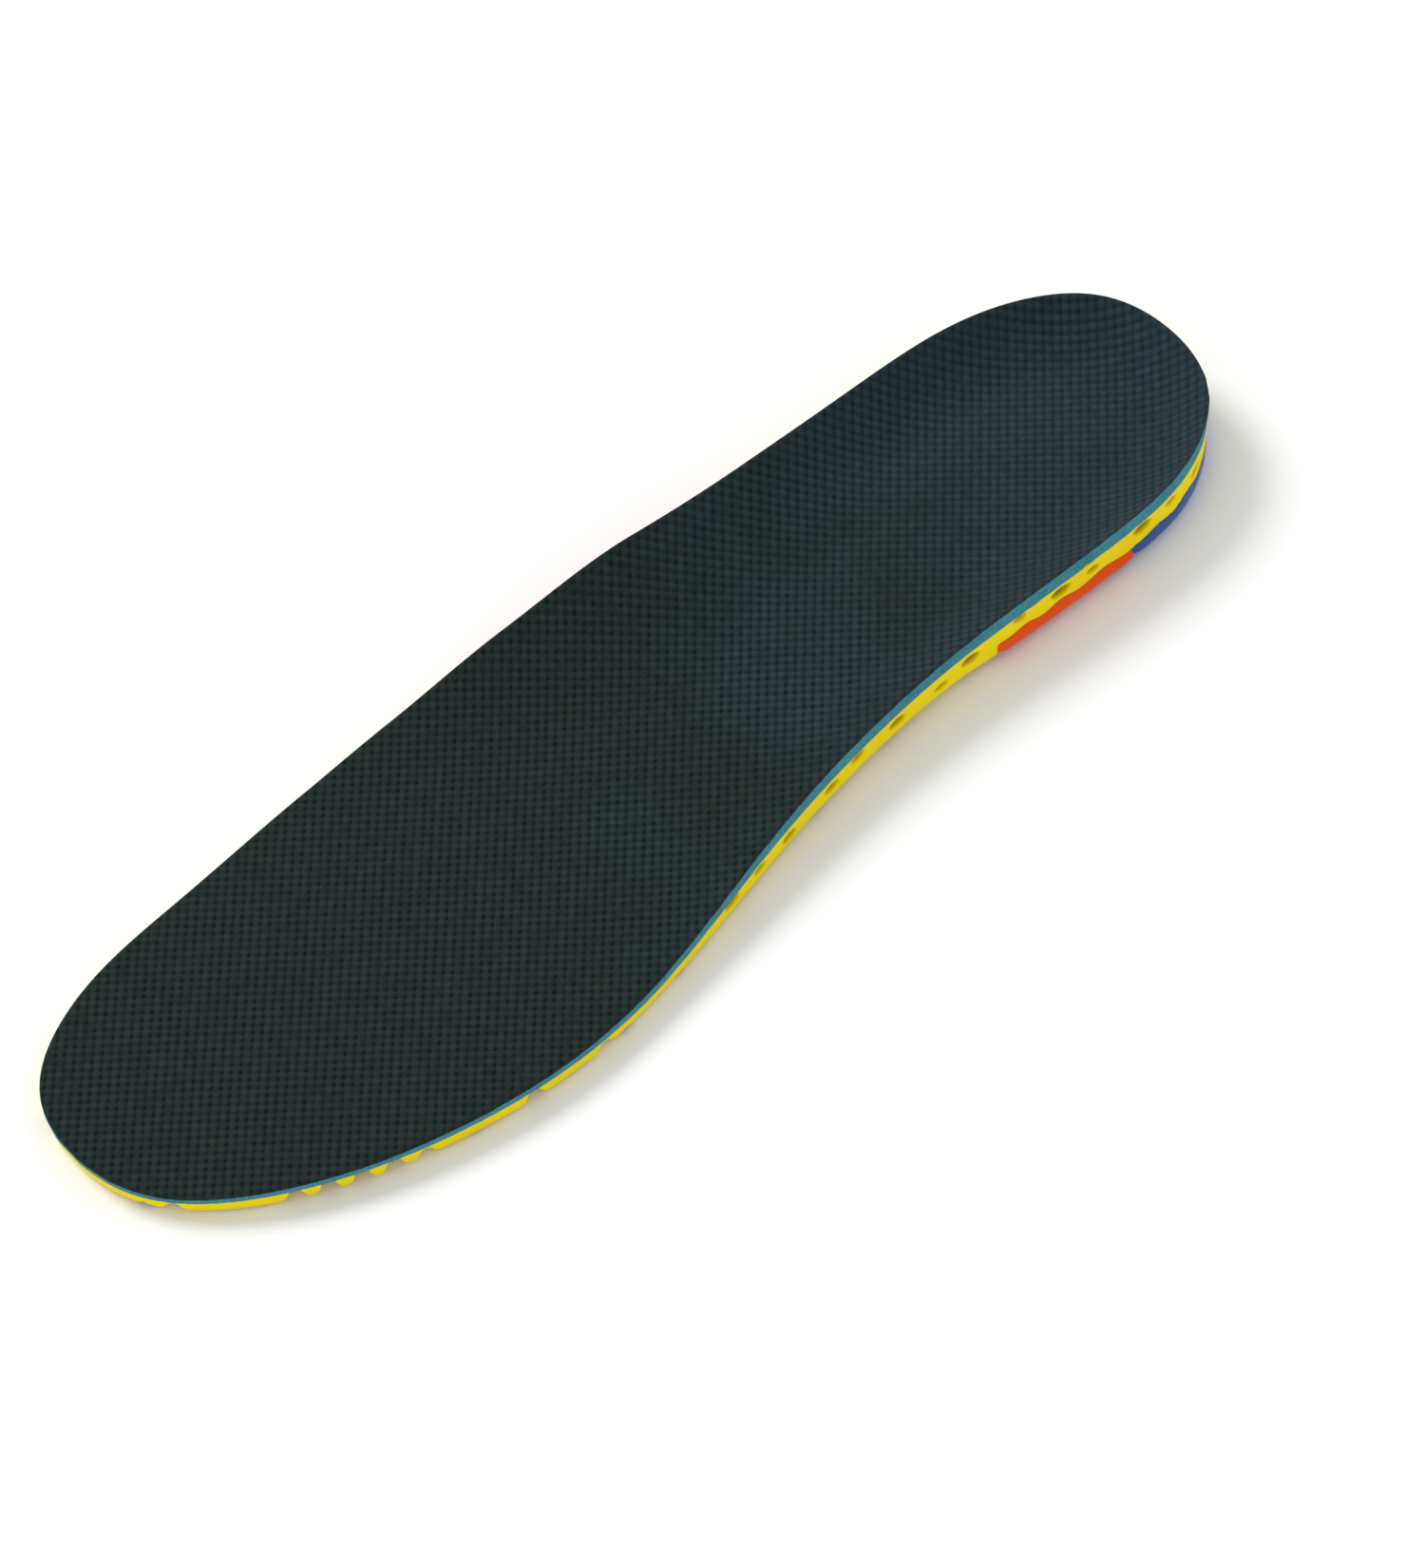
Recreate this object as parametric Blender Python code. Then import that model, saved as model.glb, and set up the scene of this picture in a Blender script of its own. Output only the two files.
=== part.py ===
"""A cushioned insole for a left shoe, built from the layers that it is pressed from.

The insole lies flat, top side up: toe towards -Y, heel towards +Y, the outer
(little toe) side towards +X and the inner (arch) side towards -X. Its origin is
under the middle of its box. Every layer is a slab between two height surfaces,
trimmed by the insole's tapered wall. The foam layers and the cover are parted
at the oblique line under the ball of the foot where an insole bends, so the
forefoot turns on its own.
"""
import math

import bmesh
import bpy
import numpy as np
from mathutils import Matrix, Vector

MM = 0.001

# Driving dimensions in millimetres. A place on the insole is (across, along):
# across is measured from the heel's centre line, positive to the outer side,
# and along is measured from the heel's end towards the toe.
LENGTH = 275.0
OUTLINE = (
    (0, 0), (16.4, 4.3), (26.4, 16.8), (30.3, 40), (30.1, 80), (33.6, 118), (41.8, 154),
    (47.6, 187), (44.5, 220), (31.2, 254), (14, 271.5), (-1, 275),
    (-15.5, 271.5), (-26.5, 257), (-32.4, 225), (-36.2, 183), (-35, 145),
    (-30.6, 105), (-30.4, 58), (-26.3, 18.5), (-15.5, 4.2),
)
OUTLINE_POINTS = 132
MID_LINE = ((0, 0), (80, 0), (120, 2.5), (150, 4.5), (190, 6), (220, 5), (275, -1.5))
BEYOND_EDGE = 1.5       # how far the edge slopes carry on outside the outline, for an exact rim height
SIDE_BLEND = 24.0       # width over which the inner side's heights turn into the outer side's

# Heights of the top surface: at the inner rim, at the outer rim and between them.
INNER_RIM = (
    (0, 15.5), (40, 16.5), (85, 19), (112, 19.5), (142, 13.5), (170, 7.6), (192, 6), (240, 6), (275, 5.4),
)
OUTER_RIM = (
    (0, 15.5), (35, 15), (70, 14), (105, 12), (135, 9.8), (160, 7), (175, 6), (240, 6), (275, 5.4),
)
SEAT = ((0, 8.8), (32, 8.4), (90, 10), (125, 9), (158, 6.8), (180, 6), (240, 6), (275, 5.4))
INNER_SLOPE_WIDTH = ((0, 16), (55, 18), (105, 30), (150, 26), (200, 16), (275, 16))
OUTER_SLOPE_WIDTH = 16.0

# Heights of the underside.
REAR_LIFT = ((0, 0.9), (90, 0.9), (165, 0))         # foam and plate stand clear of the floor
ARCH_LIFT = ((42, 0), (75, 5.5), (108, 9.5), (140, 4.5), (172, 0))
ARCH_WIDTH = 30.0
EDGE_ROUND = ((0, 1.4), (25, 0.7), (62, 0.7), (85, 1.6), (110, 1.2), (150, 0.5), (190, 0.3), (275, 0.3))
EDGE_ROUND_WIDTH = 7.0
WALL_TAPER = ((0, 1.5), (25, 0.5), (65, 0.4), (85, 1.0), (115, 0.5), (275, 0.4))   # its lean at the floor

COVER_THICKNESS = 0.8
TEAL_THICKNESS = 1.4
GAP = 0.3               # between touching layers and round inset pieces

PLATE_THICKNESS = 1.8
PLATE_RIM = 1.4         # extra thickness where the plate meets the wall
PLATE_RIM_WIDTH = 5.0
PLATE_OUTLINE = (
    (36, 26), (38, 48), (34, 66), (26, 75), (19, 88), (17.5, 104), (22, 119),
    (31, 131), (36.5, 141), (37, 153), (31, 161), (16, 163.5), (-2, 166.5),
    (-19, 169.5), (-30, 165), (-39, 148), (-42, 115), (-37, 80), (-29, 60),
    (-24, 42), (-15, 56), (0, 60), (15, 53), (26, 34),
)
PAD_OUTLINE = (
    (33, 27), (36, 16), (26, -1), (10, -5), (0, -1), (-11, 5.5), (-20, 15),
    (-24, 28), (-24.5, 43), (-21, 62), (-14, 75), (-7, 73.5), (0, 70.5),
    (6, 73.5), (11, 75.5), (18, 68.5), (24, 54),
)
PAD_TOP = 3.9           # height of the pad's upper face inside the foam
PAD_RIM = 0.6           # extra height where the pad meets the wall
PAD_RIM_WIDTH = 5.0
PAD_EDGE_ROUND = 0.9
PAD_EDGE_WIDTH = 4.0
INSET_POINTS = 72

# The bending line under the ball of the foot, from the inner to the outer edge.
FLEX_INNER = (-36.2, 200.0)
FLEX_OUTER = (47.6, 176.0)
FLEX_HEIGHT = 6.0       # the bend turns about the cover's surface
FLEX_GAP = 0.4

CELL = 7.0              # spacing of the grid that carries the height surfaces
HALF_BLOCK = 400.0      # size of the blocks that part the layers
CUTTER_FLOOR = -6.0
CUTTER_CEILING = 26.0
CREASE_ANGLE = math.radians(35)


def smoothstep(t):
    t = np.clip(t, 0, 1)
    return t * t * (3 - 2 * t)


def smooth_loop(points, count):
    """A closed cubic curve through the points, drawn with count evenly spaced points."""
    p = np.asarray(points, float)
    n = len(p)
    step = np.linalg.norm(np.roll(p, -1, 0) - p, axis=1)
    before = np.roll(step, 1)
    system = np.zeros((n, n))
    right = np.zeros((n, 2))
    for i in range(n):
        j, k = (i - 1) % n, (i + 1) % n
        system[i, j] = 1 / before[i]
        system[i, i] = 2 / before[i] + 2 / step[i]
        system[i, k] = 1 / step[i]
        right[i] = 3 * ((p[i] - p[j]) / before[i] ** 2 + (p[k] - p[i]) / step[i] ** 2)
    slope = np.linalg.solve(system, right)
    t = np.linspace(0, 1, 24, endpoint=False)[:, None]
    fine = []
    for i in range(n):
        k = (i + 1) % n
        fine.append(
            (2 * t**3 - 3 * t**2 + 1) * p[i] + (t**3 - 2 * t**2 + t) * step[i] * slope[i]
            + (3 * t**2 - 2 * t**3) * p[k] + (t**3 - t**2) * step[i] * slope[k]
        )
    fine = np.vstack(fine)
    closed = np.vstack([fine, fine[:1]])
    run = np.concatenate([[0], np.cumsum(np.linalg.norm(np.diff(closed, axis=0), axis=1))])
    places = np.linspace(0, run[-1], count, endpoint=False)
    return np.stack([np.interp(places, run, closed[:, axis]) for axis in (0, 1)], 1)


def profile(stations, along):
    """The value at each distance along the insole: a smooth curve that never overshoots its stations."""
    x, y = np.transpose(np.asarray(stations, float))
    width = np.diff(x)
    rise = np.diff(y) / width
    slope = np.zeros(len(x))
    for i in range(1, len(x) - 1):
        if rise[i - 1] * rise[i] > 0:
            slope[i] = 2 * rise[i - 1] * rise[i] / (rise[i - 1] + rise[i])
    along = np.clip(along, x[0], x[-1])
    i = np.clip(np.searchsorted(x, along) - 1, 0, len(x) - 2)
    t = (along - x[i]) / width[i]
    return (
        (2 * t**3 - 3 * t**2 + 1) * y[i] + (t**3 - 2 * t**2 + t) * width[i] * slope[i]
        + (3 * t**2 - 2 * t**3) * y[i + 1] + (t**3 - t**2) * width[i] * slope[i + 1]
    )


def outward(loop):
    """The outward normal at each point of a closed loop."""
    along = np.roll(loop, -1, 0) - np.roll(loop, 1, 0)
    normal = np.stack([along[:, 1], -along[:, 0]], 1) / np.linalg.norm(along, axis=1)[:, None]
    area = np.sum(loop[:, 0] * np.roll(loop[:, 1], -1) - np.roll(loop[:, 0], -1) * loop[:, 1])
    return normal if area > 0 else -normal


def distance_inside(loop, points):
    """How far each point lies inside the loop, negative outside it."""
    start, end = loop, np.roll(loop, -1, 0)
    run = end - start
    offset = points[:, None] - start[None]
    share = np.clip(np.sum(offset * run, 2) / np.sum(run * run, 1), 0, 1)
    near = np.linalg.norm(offset - share[..., None] * run, axis=2).min(1)
    above = (start[:, 1] > points[:, None, 1]) != (end[:, 1] > points[:, None, 1])
    rise = np.where(run[:, 1] == 0, 1, run[:, 1])
    crossing = start[:, 0] + (points[:, None, 1] - start[:, 1]) * run[:, 0] / rise
    inside = np.sum(above & (points[:, None, 0] < crossing), 1) % 2 == 1
    return np.where(inside, near, -near)


EDGE_LOOP = smooth_loop(OUTLINE, OUTLINE_POINTS)
PAD_LOOP = smooth_loop(PAD_OUTLINE, INSET_POINTS)
PLATE_LOOP = smooth_loop(PLATE_OUTLINE, INSET_POINTS)
LOWEST, HIGHEST = EDGE_LOOP.min(0), EDGE_LOOP.max(0)
CENTRE_ACROSS = (LOWEST[0] + HIGHEST[0]) / 2
STRETCH = LENGTH / (HIGHEST[1] - LOWEST[1])


def world_xy(places):
    """World x and y, in metres, of (across, along) places in millimetres."""
    places = np.asarray(places, float)
    x = places[..., 0] - CENTRE_ACROSS
    y = LENGTH / 2 - (places[..., 1] - LOWEST[1]) * STRETCH
    return np.stack([x, y], -1) * MM


def outer_share(across, along):
    return smoothstep((across - profile(MID_LINE, along)) / SIDE_BLEND + 0.5)


def top_height(across, along, inside):
    """The cover's surface: a flat forefoot, a heel cup and an inner flank that climbs over the arch."""
    outer = outer_share(across, along)
    rim = profile(INNER_RIM, along) * (1 - outer) + profile(OUTER_RIM, along) * outer
    seat = profile(SEAT, along)
    inner_climb = np.clip(1 - inside / profile(INNER_SLOPE_WIDTH, along), 0, BEYOND_EDGE) ** 2
    outer_climb = np.clip(1 - inside / OUTER_SLOPE_WIDTH, 0, BEYOND_EDGE) ** 2
    return seat + (rim - seat) * (inner_climb * (1 - outer) + outer_climb * outer)


def sole_height(across, along, inside):
    """The foam's underside: flat at the front, rounded at the edge and lifted under the inner arch."""
    arch = profile(ARCH_LIFT, along) * (1 - outer_share(across, along))
    arch *= np.clip(1 - inside / ARCH_WIDTH, 0, BEYOND_EDGE) ** 1.5
    edge = profile(EDGE_ROUND, along) * np.clip(1 - inside / EDGE_ROUND_WIDTH, 0, BEYOND_EDGE) ** 2
    return profile(REAR_LIFT, along) + arch + edge


def below_top(depth):
    return lambda across, along, inside: top_height(across, along, inside) - depth


def plate_height(across, along, inside):
    """The plate's upper face, which curls up a little where it meets the wall."""
    curl = PLATE_RIM * np.clip(1 - inside / PLATE_RIM_WIDTH, 0, BEYOND_EDGE) ** 2
    return sole_height(across, along, inside) + PLATE_THICKNESS + curl


def pad_sole_height(across, along, inside):
    """The pad's underside, flat on the floor and rounded up towards its own edge."""
    own = distance_inside(PAD_LOOP, np.stack([across, along], 1))
    margin = np.minimum(own, inside)
    return PAD_EDGE_ROUND * np.clip(1 - margin / PAD_EDGE_WIDTH, 0, BEYOND_EDGE) ** 2


def pad_height(across, along, inside):
    """The pad's upper face, level but for the wall's side, where it curls up."""
    return PAD_TOP + PAD_RIM * np.clip(1 - inside / PAD_RIM_WIDTH, 0, BEYOND_EDGE) ** 2


def level(height):
    return lambda across, along, inside: np.full_like(across, height)


def raised(surface, amount):
    return lambda across, along, inside: surface(across, along, inside) + amount


def collection(name):
    found = bpy.data.collections.get(name) or bpy.data.collections.new(name)
    if name not in bpy.context.scene.collection.children:
        bpy.context.scene.collection.children.link(found)
    return found


def add_object(name, mesh, group):
    obj = bpy.data.objects.new(name, mesh)
    collection(group).objects.link(obj)
    if group == "cutters":
        obj.hide_render = True
        obj.display_type = "WIRE"
    return obj


def slab(name, lower, upper, group="insole", low=(-52, -10), high=(62, 285)):
    """A closed slab between two height surfaces, on a rectangular grid of triangles."""
    across_count = math.ceil((high[0] - low[0]) / CELL) + 1
    along_count = math.ceil((high[1] - low[1]) / CELL) + 1
    across, along = np.meshgrid(
        np.linspace(low[0], high[0], across_count), np.linspace(low[1], high[1], along_count)
    )
    across, along = across.ravel(), along.ravel()
    inside = distance_inside(EDGE_LOOP, np.stack([across, along], 1))
    xy = world_xy(np.stack([across, along], 1))
    bm = bmesh.new()
    bmesh.ops.create_grid(bm, x_segments=across_count - 1, y_segments=along_count - 1, size=1)
    bm.verts.ensure_lookup_table()
    order = sorted(range(len(bm.verts)), key=lambda i: (round(bm.verts[i].co.y, 6), bm.verts[i].co.x))
    bottom = [bm.verts[i] for i in order]
    bmesh.ops.triangulate(bm, faces=bm.faces[:])
    copied = bmesh.ops.duplicate(bm, geom=bm.verts[:] + bm.edges[:] + bm.faces[:])["vert_map"]
    top = [copied[v] for v in bottom]
    heights = lower(across, along, inside), upper(across, along, inside)
    for verts, z in zip((bottom, top), heights):
        for vert, place, height in zip(verts, xy, z):
            vert.co = Vector((place[0], place[1], height * MM))
    rims = [edge for edge in bm.edges if edge.is_boundary]
    bmesh.ops.bridge_loops(bm, edges=rims)
    bmesh.ops.triangulate(bm, faces=bm.faces[:])
    bmesh.ops.recalc_face_normals(bm, faces=bm.faces[:])
    mesh = bpy.data.meshes.new(name)
    bm.to_mesh(mesh)
    bm.free()
    mesh.shade_smooth()
    mesh.set_sharp_from_angle(angle=CREASE_ANGLE)
    return add_object(name, mesh, group)


def loft(name, lower_loop, upper_loop, lower_z=CUTTER_FLOOR, upper_z=CUTTER_CEILING):
    """A cutter with flat ends and ruled sides between two loops with the same number of points."""
    bm = bmesh.new()
    rims = []
    for loop, height in ((lower_loop, lower_z), (upper_loop, upper_z)):
        verts = [bm.verts.new((x, y, height * MM)) for x, y in world_xy(loop)]
        face = bm.faces.new(verts)
        rims += list(face.edges)
    bmesh.ops.bridge_loops(bm, edges=rims)
    bmesh.ops.triangulate(bm, faces=bm.faces[:])
    bmesh.ops.recalc_face_normals(bm, faces=bm.faces[:])
    mesh = bpy.data.meshes.new(name)
    bm.to_mesh(mesh)
    bm.free()
    return add_object(name, mesh, "cutters")


def wall_cutter():
    """The insole's tapered wall: it passes through the outline at rim height and leans in below it."""
    normal = outward(EDGE_LOOP)
    along = EDGE_LOOP[:, 1]
    outer = outer_share(EDGE_LOOP[:, 0], along)
    rim = profile(INNER_RIM, along) * (1 - outer) + profile(OUTER_RIM, along) * outer
    lean = (profile(WALL_TAPER, along) / rim)[:, None]
    lower = EDGE_LOOP + normal * lean * (CUTTER_FLOOR - rim[:, None])
    upper = EDGE_LOOP + normal * lean * (CUTTER_CEILING - rim[:, None])
    return loft("wall_cutter", lower, upper)


def inset_cutter(name, loop, growth=0.0):
    grown = loop + outward(loop) * growth
    return loft(name, grown, grown)


def flex_line():
    """Two world points on the bending line, its unit axis and the direction towards the toe."""
    inner, outer = (Vector((*xy, FLEX_HEIGHT * MM)) for xy in world_xy((FLEX_INNER, FLEX_OUTER)))
    axis = (inner - outer).normalized()
    towards_toe = Vector((0, 0, 1)).cross(axis).normalized()
    return inner, outer, axis, towards_toe


def half_cutter(name, side):
    """A block over everything on one side of the bending line: side 1 is the toe's, -1 the heel's."""
    inner, outer, axis, towards_toe = flex_line()
    size = HALF_BLOCK * MM
    bpy.ops.mesh.primitive_cube_add(size=size)
    block = bpy.context.active_object
    block.name = name
    towards_toe = towards_toe * side
    middle = (inner + outer) / 2 + towards_toe * (size / 2 + FLEX_GAP / 2 * MM)
    block.matrix_world = Matrix((
        (*axis, 0), (*towards_toe, 0), (*axis.cross(towards_toe), 0), (0, 0, 0, 1),
    )).transposed()
    block.location = middle
    for home in list(block.users_collection):
        home.objects.unlink(block)
    collection("cutters").objects.link(block)
    block.hide_render = True
    block.display_type = "WIRE"
    return block


def cut(obj, cutter, operation):
    modifier = obj.modifiers.new(f"{operation.lower()} {cutter.name}", "BOOLEAN")
    modifier.operation = operation
    modifier.object = cutter
    modifier.solver = "EXACT"


def material(name, colour, roughness, sheen=0.0):
    found = bpy.data.materials.new(name)
    found.use_nodes = True
    shader = found.node_tree.nodes["Principled BSDF"]
    shader.inputs["Base Color"].default_value = (*colour, 1)
    shader.inputs["Roughness"].default_value = roughness
    shader.inputs["Metallic"].default_value = 0.0
    shader.inputs["Sheen Weight"].default_value = sheen
    found.diffuse_color = (*colour, 1)
    return found


def layer(name, lower, upper, finish, cutters):
    """A layer of the insole: rear and forefoot pieces, trimmed by the wall and the bending line."""
    pieces = {}
    for end in ("rear", "forefoot"):
        piece = slab(f"{name}_{end}", lower, upper)
        cut(piece, cutters["wall"], "INTERSECT")
        cut(piece, cutters[end], "INTERSECT")
        piece.data.materials.append(finish)
        pieces[end] = piece
    return pieces


def pocket(name, top, loop, low, high):
    """The space that an inset piece takes from the foam, with its gap."""
    space = slab(name, level(CUTTER_FLOOR), raised(top, GAP), "cutters", low, high)
    cut(space, inset_cutter(f"{name}_outline", loop, GAP), "INTERSECT")
    return space


def inset_piece(name, lower, upper, loop, finish, cutters, low, high):
    piece = slab(name, lower, upper, low=low, high=high)
    cut(piece, cutters["wall"], "INTERSECT")
    cut(piece, inset_cutter(f"{name}_outline", loop), "INTERSECT")
    piece.data.materials.append(finish)
    return piece


def hang_on_flex_line(pieces):
    """The forefoot's pieces turn about an empty on the bending line."""
    inner, outer, _, _ = flex_line()
    pivot = (inner + outer) / 2
    hinge = bpy.data.objects.new("forefoot_flex_axis", None)
    collection("insole").objects.link(hinge)
    hinge.location = pivot
    hinge.empty_display_size = 20 * MM
    for piece in pieces:
        piece.data.transform(Matrix.Translation(-pivot))
        piece.parent = hinge


def build():
    for obj in list(bpy.data.objects):
        bpy.data.objects.remove(obj, do_unlink=True)
    cutters = {
        "wall": wall_cutter(),
        "forefoot": half_cutter("forefoot_side", 1),
        "rear": half_cutter("rear_side", -1),
    }
    fabric = material("mesh_fabric", (0.020, 0.036, 0.039), 0.9, 0.2)
    teal = material("teal_foam", (0.025, 0.262, 0.381), 0.8)
    yellow = material("yellow_foam", (0.90, 0.75, 0.01), 0.65)
    orange = material("orange_plastic", (0.84, 0.11, 0.01), 0.45)
    blue = material("blue_gel_foam", (0.017, 0.091, 0.376), 0.5)

    teal_top = COVER_THICKNESS + GAP
    base_top = teal_top + TEAL_THICKNESS + GAP
    cover = layer("top_cover", below_top(COVER_THICKNESS), below_top(0), fabric, cutters)
    foam = layer("teal_foam", below_top(teal_top + TEAL_THICKNESS), below_top(teal_top), teal, cutters)
    base = layer("foam_base", sole_height, below_top(base_top), yellow, cutters)

    plate_low, plate_high = (-52, 30), (46, 180)
    pad_low, pad_high = (-38, -12), (44, 86)
    cut(base["rear"], pocket("plate_pocket", plate_height, PLATE_LOOP, plate_low, plate_high), "DIFFERENCE")
    cut(base["rear"], pocket("pad_pocket", pad_height, PAD_LOOP, pad_low, pad_high), "DIFFERENCE")
    plate = inset_piece(
        "arch_plate", sole_height, plate_height, PLATE_LOOP, orange, cutters, plate_low, plate_high
    )
    cut(plate, inset_cutter("plate_pad_gap", PAD_LOOP, 2 * GAP), "DIFFERENCE")
    inset_piece("heel_pad", pad_sole_height, pad_height, PAD_LOOP, blue, cutters, pad_low, pad_high)
    hang_on_flex_line([cover["forefoot"], foam["forefoot"], base["forefoot"]])


build()
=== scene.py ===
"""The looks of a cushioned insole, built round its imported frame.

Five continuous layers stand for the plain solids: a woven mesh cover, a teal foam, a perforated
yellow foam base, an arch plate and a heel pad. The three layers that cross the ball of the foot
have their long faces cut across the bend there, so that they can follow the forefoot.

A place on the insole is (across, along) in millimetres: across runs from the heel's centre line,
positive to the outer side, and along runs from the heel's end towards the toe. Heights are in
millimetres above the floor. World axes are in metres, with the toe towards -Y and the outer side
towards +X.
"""
import math

import bmesh
import bpy
import numpy as np
from mathutils import Matrix, Vector


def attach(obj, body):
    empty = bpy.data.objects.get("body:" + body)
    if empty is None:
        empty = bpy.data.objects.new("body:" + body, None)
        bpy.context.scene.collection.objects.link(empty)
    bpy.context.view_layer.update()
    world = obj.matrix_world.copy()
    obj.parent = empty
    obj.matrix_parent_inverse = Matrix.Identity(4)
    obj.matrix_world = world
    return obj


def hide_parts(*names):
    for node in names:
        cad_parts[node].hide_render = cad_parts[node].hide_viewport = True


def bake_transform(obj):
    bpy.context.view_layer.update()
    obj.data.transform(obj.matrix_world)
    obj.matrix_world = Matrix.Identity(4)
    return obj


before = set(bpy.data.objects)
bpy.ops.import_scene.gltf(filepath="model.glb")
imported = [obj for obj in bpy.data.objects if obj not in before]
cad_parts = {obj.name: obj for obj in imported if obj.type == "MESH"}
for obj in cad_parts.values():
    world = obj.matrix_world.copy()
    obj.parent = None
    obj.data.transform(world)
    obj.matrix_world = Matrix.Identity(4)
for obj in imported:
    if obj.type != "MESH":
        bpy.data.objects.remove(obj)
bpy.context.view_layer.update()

MM = 0.001

# The camera: a long lens from the outer side, above the toe.
CAMERA_AZIMUTH = math.radians(56.9)
CAMERA_ELEVATION = math.radians(53.74)
CAMERA_ROLL = math.radians(8.45)
CAMERA_DISTANCE = 1.5
CAMERA_LENS = 178.6
CAMERA_AIM_RIGHT = 0.0102
CAMERA_AIM_UP = -0.0010

# The light: a white surround and one wide, low sun from the inner side.
WORLD_LIGHT = 0.80
WORLD_LOOK = 1.0
SUN_FROM = (-0.80, -0.17, 0.78)
SUN_WIDTH = 26.0
SUN_STRENGTH = 1.75
FLOOR_HALF = 6.0
FLOOR_HEIGHT = -0.0002  # just below the foam, so that their faces don't meet

# The insole's outline and heights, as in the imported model.
LENGTH = 275.0
OUTLINE = (
    (0, 0), (16.4, 4.3), (26.4, 16.8), (30.3, 40), (30.1, 80), (33.6, 118), (41.8, 154),
    (47.6, 187), (44.5, 220), (31.2, 254), (14, 271.5), (-1, 275),
    (-15.5, 271.5), (-26.5, 257), (-32.4, 225), (-36.2, 183), (-35, 145),
    (-30.6, 105), (-30.4, 58), (-26.3, 18.5), (-15.5, 4.2),
)
# Where the inner side's shape turns into the outer side's.
MID_LINE = ((0, 0), (80, 0), (120, 2.5), (150, 4.5), (190, 6), (220, 5), (275, -1.5))
SIDE_BLEND = 24.0
BEYOND_EDGE = 1.5       # outside the outline, slopes go on up to this
INNER_RIM = (
    (0, 15.5), (40, 16.5), (85, 19), (112, 19.5), (142, 13.5), (170, 7.6), (192, 6), (240, 6), (275, 5.4),
)
OUTER_RIM = (
    (0, 15.5), (35, 15), (70, 14), (105, 12), (135, 9.8), (160, 7), (175, 6), (240, 6), (275, 5.4),
)
SEAT = ((0, 8.8), (32, 8.4), (90, 10), (125, 9), (158, 6.8), (180, 6), (240, 6), (275, 5.4))
INNER_SLOPE_WIDTH = ((0, 16), (55, 18), (105, 30), (150, 26), (200, 16), (275, 16))
OUTER_SLOPE_WIDTH = 16.0
REAR_LIFT = ((0, 0.9), (90, 0.9), (165, 0))
ARCH_LIFT = ((42, 0), (75, 5.5), (108, 9.5), (140, 4.5), (172, 0))
ARCH_WIDTH = 30.0
EDGE_ROUND = ((0, 1.4), (25, 0.7), (62, 0.7), (85, 1.6), (110, 1.2), (150, 0.5), (190, 0.3), (275, 0.3))
EDGE_ROUND_WIDTH = 7.0
WALL_TAPER = ((0, 1.5), (25, 0.5), (65, 0.4), (85, 1.0), (115, 0.5), (275, 0.4))
TAPER_REACH = 12.0
PLATE_OUTLINE = (
    (36, 26), (38, 48), (34, 66), (26, 75), (19, 88), (17.5, 104), (22, 119),
    (31, 131), (36.5, 141), (37, 153), (31, 161), (16, 163.5), (-2, 166.5),
    (-19, 169.5), (-30, 165), (-39, 148), (-42, 115), (-37, 80), (-29, 60),
    (-24, 42), (-15, 56), (0, 60), (15, 53), (26, 34),
)
PAD_OUTLINE = (
    (33, 27), (36, 16), (26, -1), (10, -5), (0, -1), (-11, 5.5), (-20, 15),
    (-24, 28), (-24.5, 43), (-21, 62), (-14, 75), (-7, 73.5), (0, 70.5),
    (6, 73.5), (11, 75.5), (18, 68.5), (24, 54),
)
FLEX_INNER = (-36.2, 200.0)
FLEX_OUTER = (47.6, 176.0)
BEND_BEHIND = 15.0      # the bend starts this far behind the hinge
BEND_AHEAD = 20.0       # and ends this far in front of it
BEND_CUTS = 12          # lines across the bend along which long faces are cut
LONG_EDGE = 2.5         # a mesh edge longer than this can't follow the bend

# Layers.
COVER_THICKNESS = 0.7
COVER_PROUD = 0.05
COVER_EDGE_DROP = 0.3
COVER_EDGE_WIDTH = 0.7
TEAL_STEP = 1.1
TEAL_INNER_THICKNESS = 1.3
# The teal layer's height on the wall.
TEAL_BAND = ((0, 3.5), (60, 3.5), (115, 3.3), (155, 2.5), (200, 1.6), (275, 1.3))
TEAL_BAND_WIDTH = 9.0
TEAL_PROUD = 0.10       # the teal stands this far out of the yellow wall
OVERLAP = 0.06          # glued faces sink into each other by this much
SEAM = 0.25             # dark line round the plate and the pad
EDGE_WAVE = 0.12        # unevenness of the cut edges

# The cover's weave: square cells on the bias, four mesh quads to a cell.
WEAVE_PITCH = 1.78
WEAVE_TURN = math.radians(41.3)
WEAVE_QUADS = 4
PORE_DEPTH = 0.24
THREAD_GROOVE = 0.05
WEAVE_FADE = 1.2        # the weave grows flat over this width at the edge
UNDERSIDE_KEEP = 0.52   # share of the cover's triangles left once its hidden face is thinned out

# The yellow base: funnel holes on a triangular lattice in front, pits behind.
HOLE_PITCH = 6.5
HOLE_ROW = (0.379, -0.926)
HOLE_START = (36.6, 243.2)
HOLE_THROAT = 1.15
HOLE_MOUTH = 2.6
HOLE_FLARE = 2.2
HOLE_REACH = 172.0      # holes go through in front of this place
HOLE_SLANT = 0.12       # which shifts forwards by this share of across
HOLE_PLATE_GAP = 1.2    # yellow foam between a hole's mouth and the plate
EDGE_NOTCH = 0.9        # a hole this close to the outline is a notch in the wall
EDGE_CLEAR = 2.2        # holes between a notch and this far inside are left out
PIT_PITCH = 5.9
PIT_ROW = (0.35, 0.94)
PIT_START = (25.0, 104.0)
PIT_THROAT = 1.0
PIT_MOUTH = 1.9
PIT_DEPTH = 2.4
PIT_CLEAR = 2.2         # pits keep this far from the outline
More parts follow.
